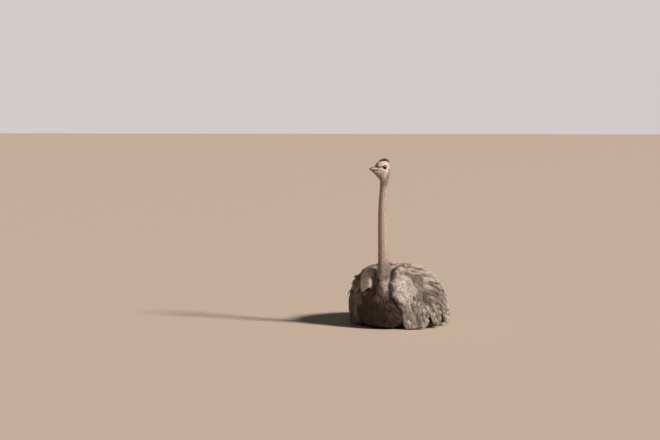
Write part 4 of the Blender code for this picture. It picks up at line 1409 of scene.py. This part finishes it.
def grow_lashes(shapes, finish):
    """Thick dark lashes along the upper lids."""
    random = np.random.default_rng(SEEDS["lashes"])
    around = np.linspace(0.12, 0.88, LASHES) * math.pi
    forward = EYE_FORWARD + LID_HALF[0] * np.cos(around) * 1.03
    up = LID_UP + LID_HALF[1] * np.sin(around) * 1.05
    root = rows_of(eyeball_reach(forward, up) + 0.0008, EYE_Y - forward, EYE_HEIGHT + up)
    spread = rows_of(0.85, -0.55 * np.cos(around), 0.25 + 0.2 * np.sin(around))
    bends = [[], [], [], []]
    for side in SIDES.values():
        size = random.uniform(0.0075, 0.0105, (LASHES, 1))
        for bend, (share, curl) in zip(bends, LASH_STOPS):
            stop = (root + spread * size * share + [0, 0, curl]) * [side, 1, 1]
            bend.append(turned(stop, stop[:, 2]))
    count = LASHES * len(SIDES)
    facing = np.tile([0.0, 0.0, 1.0], (count, 1))
    curves = curves_of([np.concatenate(bend) for bend in bends], facing, facing)
    place = body_place(EYES + np.linspace(-0.3, 0.3, count), np.full(count, 1.4))
    carried = details(random, count, 0.0010, place, 2, tone=0.1, brown=1.0)
    grow("eyelashes", curves | carried, shapes, finish)


# ---------------------------------------------------------------------------------------------------------
# The coat's finishes

STREAKING = 0.4  # how far one lock or barb differs from the next in brightness


def plume_finish():
    """Loose plumes with no hooks between their barbs: dry, matt and soft, dark in the middle and pale along
    the fringe, streaked along the barbs. Each lock darkens towards its root: partly the plume's own darker
    base and partly painted shade where the plumes overlap."""
    made, tree = new_finish("loose_plume")
    along, tone, strand = (add(tree, "ShaderNodeAttribute", out="Fac", attribute_name=key)
                           for key in ("along", "tone", "strand"))
    colour = add(tree, "ShaderNodeValToRGB", {"Fac": tone},
                 stops=((0.0, "#594B43"), (0.35, "#8A7A70"), (0.7, "#B2A296"), (1.0, "#E0D4C9")))
    # The pale tint is mostly painted light where the light falls, and is the plumes' own paleness towards the
    # wing's rear. The brown tint is the breast's own colour, and painted shade on the flanks, under the tail
    # and behind the wing's hollows. The fringe is the plumes' own pale edge.
    colour = marked(tree, colour, {"fringe": "#DDD0C2", "pale": "#FBF3E9", "brown": "#574741"})
    place = add(tree, "ShaderNodeTexCoord", out="Object")
    lines = {"Vector": place, "Scale": 700.0, "Detail": 2.0}  # about 1.4 mm, the width of a few barbs
    barbs = add(tree, "ShaderNodeTexNoise", lines, out="Fac")
    # Partly painted shade: each lock darkens from its tip to its root, where overlapping plumes would shade
    # it.
    light = add(tree, "ShaderNodeMapRange", {0: along, 1: 0.15, 2: 0.9, 3: 0.30, 4: 1.10})
    for source in (strand, barbs):
        streaks = {0: source, 1: STREAKING, 2: 1 - STREAKING / 2}
        share = add(tree, "ShaderNodeMath", streaks, operation="MULTIPLY_ADD")
        light = add(tree, "ShaderNodeMath", {0: light, 1: share}, operation="MULTIPLY")
    colour = add(tree, "ShaderNodeHueSaturation", {"Value": light, "Color": colour})
    surface = add(tree, "ShaderNodeBsdfPrincipled", {
        "Base Color": colour, "Roughness": 0.85, "Specular IOR Level": 0.25})
    add(tree, "ShaderNodeOutputMaterial", {"Surface": surface})
    return made


def down_finish(name, root, tip, brown_root, brown_tip):
    """Fine down and hair-like bristles: matt, a little paler at the tip, brown where marked so."""
    made, tree = new_finish(name)
    along, strand, brown = (add(tree, "ShaderNodeAttribute", out="Fac", attribute_name=key)
                            for key in ("along", "strand", "brown"))
    light = add(tree, "ShaderNodeValToRGB", {"Fac": along}, stops=((0.1, root), (1.0, tip)))
    dark = add(tree, "ShaderNodeValToRGB", {"Fac": along}, stops=((0.1, brown_root), (1.0, brown_tip)))
    colour = add(tree, "ShaderNodeMix", {0: brown, 6: light, 7: dark}, out=2, data_type="RGBA")
    streaks = {0: strand, 1: STREAKING, 2: 1 - STREAKING / 2}
    value = add(tree, "ShaderNodeMath", streaks, operation="MULTIPLY_ADD")
    colour = add(tree, "ShaderNodeHueSaturation", {"Value": value, "Color": colour})
    surface = add(tree, "ShaderNodeBsdfPrincipled", {
        "Base Color": colour, "Roughness": 0.8, "Specular IOR Level": 0.25})
    add(tree, "ShaderNodeOutputMaterial", {"Surface": surface})
    return made


def make_coat():
    plumes = shape_collection("plume", 3, 20, plume_shape)
    down = shape_collection("down", 2, 30, tuft_shape, 3, 1.0, 0.13, 0.25)
    bristles = shape_collection("bristle", 2, 34, tuft_shape, 3, 1.1, 0.17, 0.5)
    lashes = shape_collection("lash", 2, 38, tuft_shape, 1, 0.0, 0.32, 0.1)
    plume = plume_finish()
    soft = down_finish("neck_down_fuzz", "#B6A597", "#D3C8BE", "#85705F", "#AA9788")
    hair = down_finish("crown_bristle", "#6F5847", "#94795F", "#3A2B22", "#6A5443")
    lash = down_finish("eyelash_bristle", "#1C1512", "#2A211C", "#15100D", "#241B16")
    for word, side in SIDES.items():
        grow_wing(word, side, plumes, plume)
        grow_mantle(word, side, plumes, plume)
    grow_underwing(plumes, plume)
    grow_body(plumes, plume)
    grow_neck_down(down, soft)
    grow_crown(bristles, hair)
    grow_lashes(lashes, lash)
    for group in (plumes, down, bristles, lashes):
        for shape in list(group.objects):
            bpy.data.objects.remove(shape)
        bpy.data.collections.remove(group)


# ---------------------------------------------------------------------------------------------------------

make_camera()
make_studio()
make_skin()
make_eyes()
make_bill("upper_bill", "bill_upper", True, horn_finish("upper_bill_horn", "#645448", "#827163"))
# Painted shade: the lower bill's horn is darker, for the shade under the upper bill.
make_bill("lower_bill", "bill_lower", False, horn_finish("lower_bill_horn", "#45362C", "#5D4C3E"))
make_claws(horn_finish("claw_horn", "#4A3E36", "#6E6055"))
make_coat()
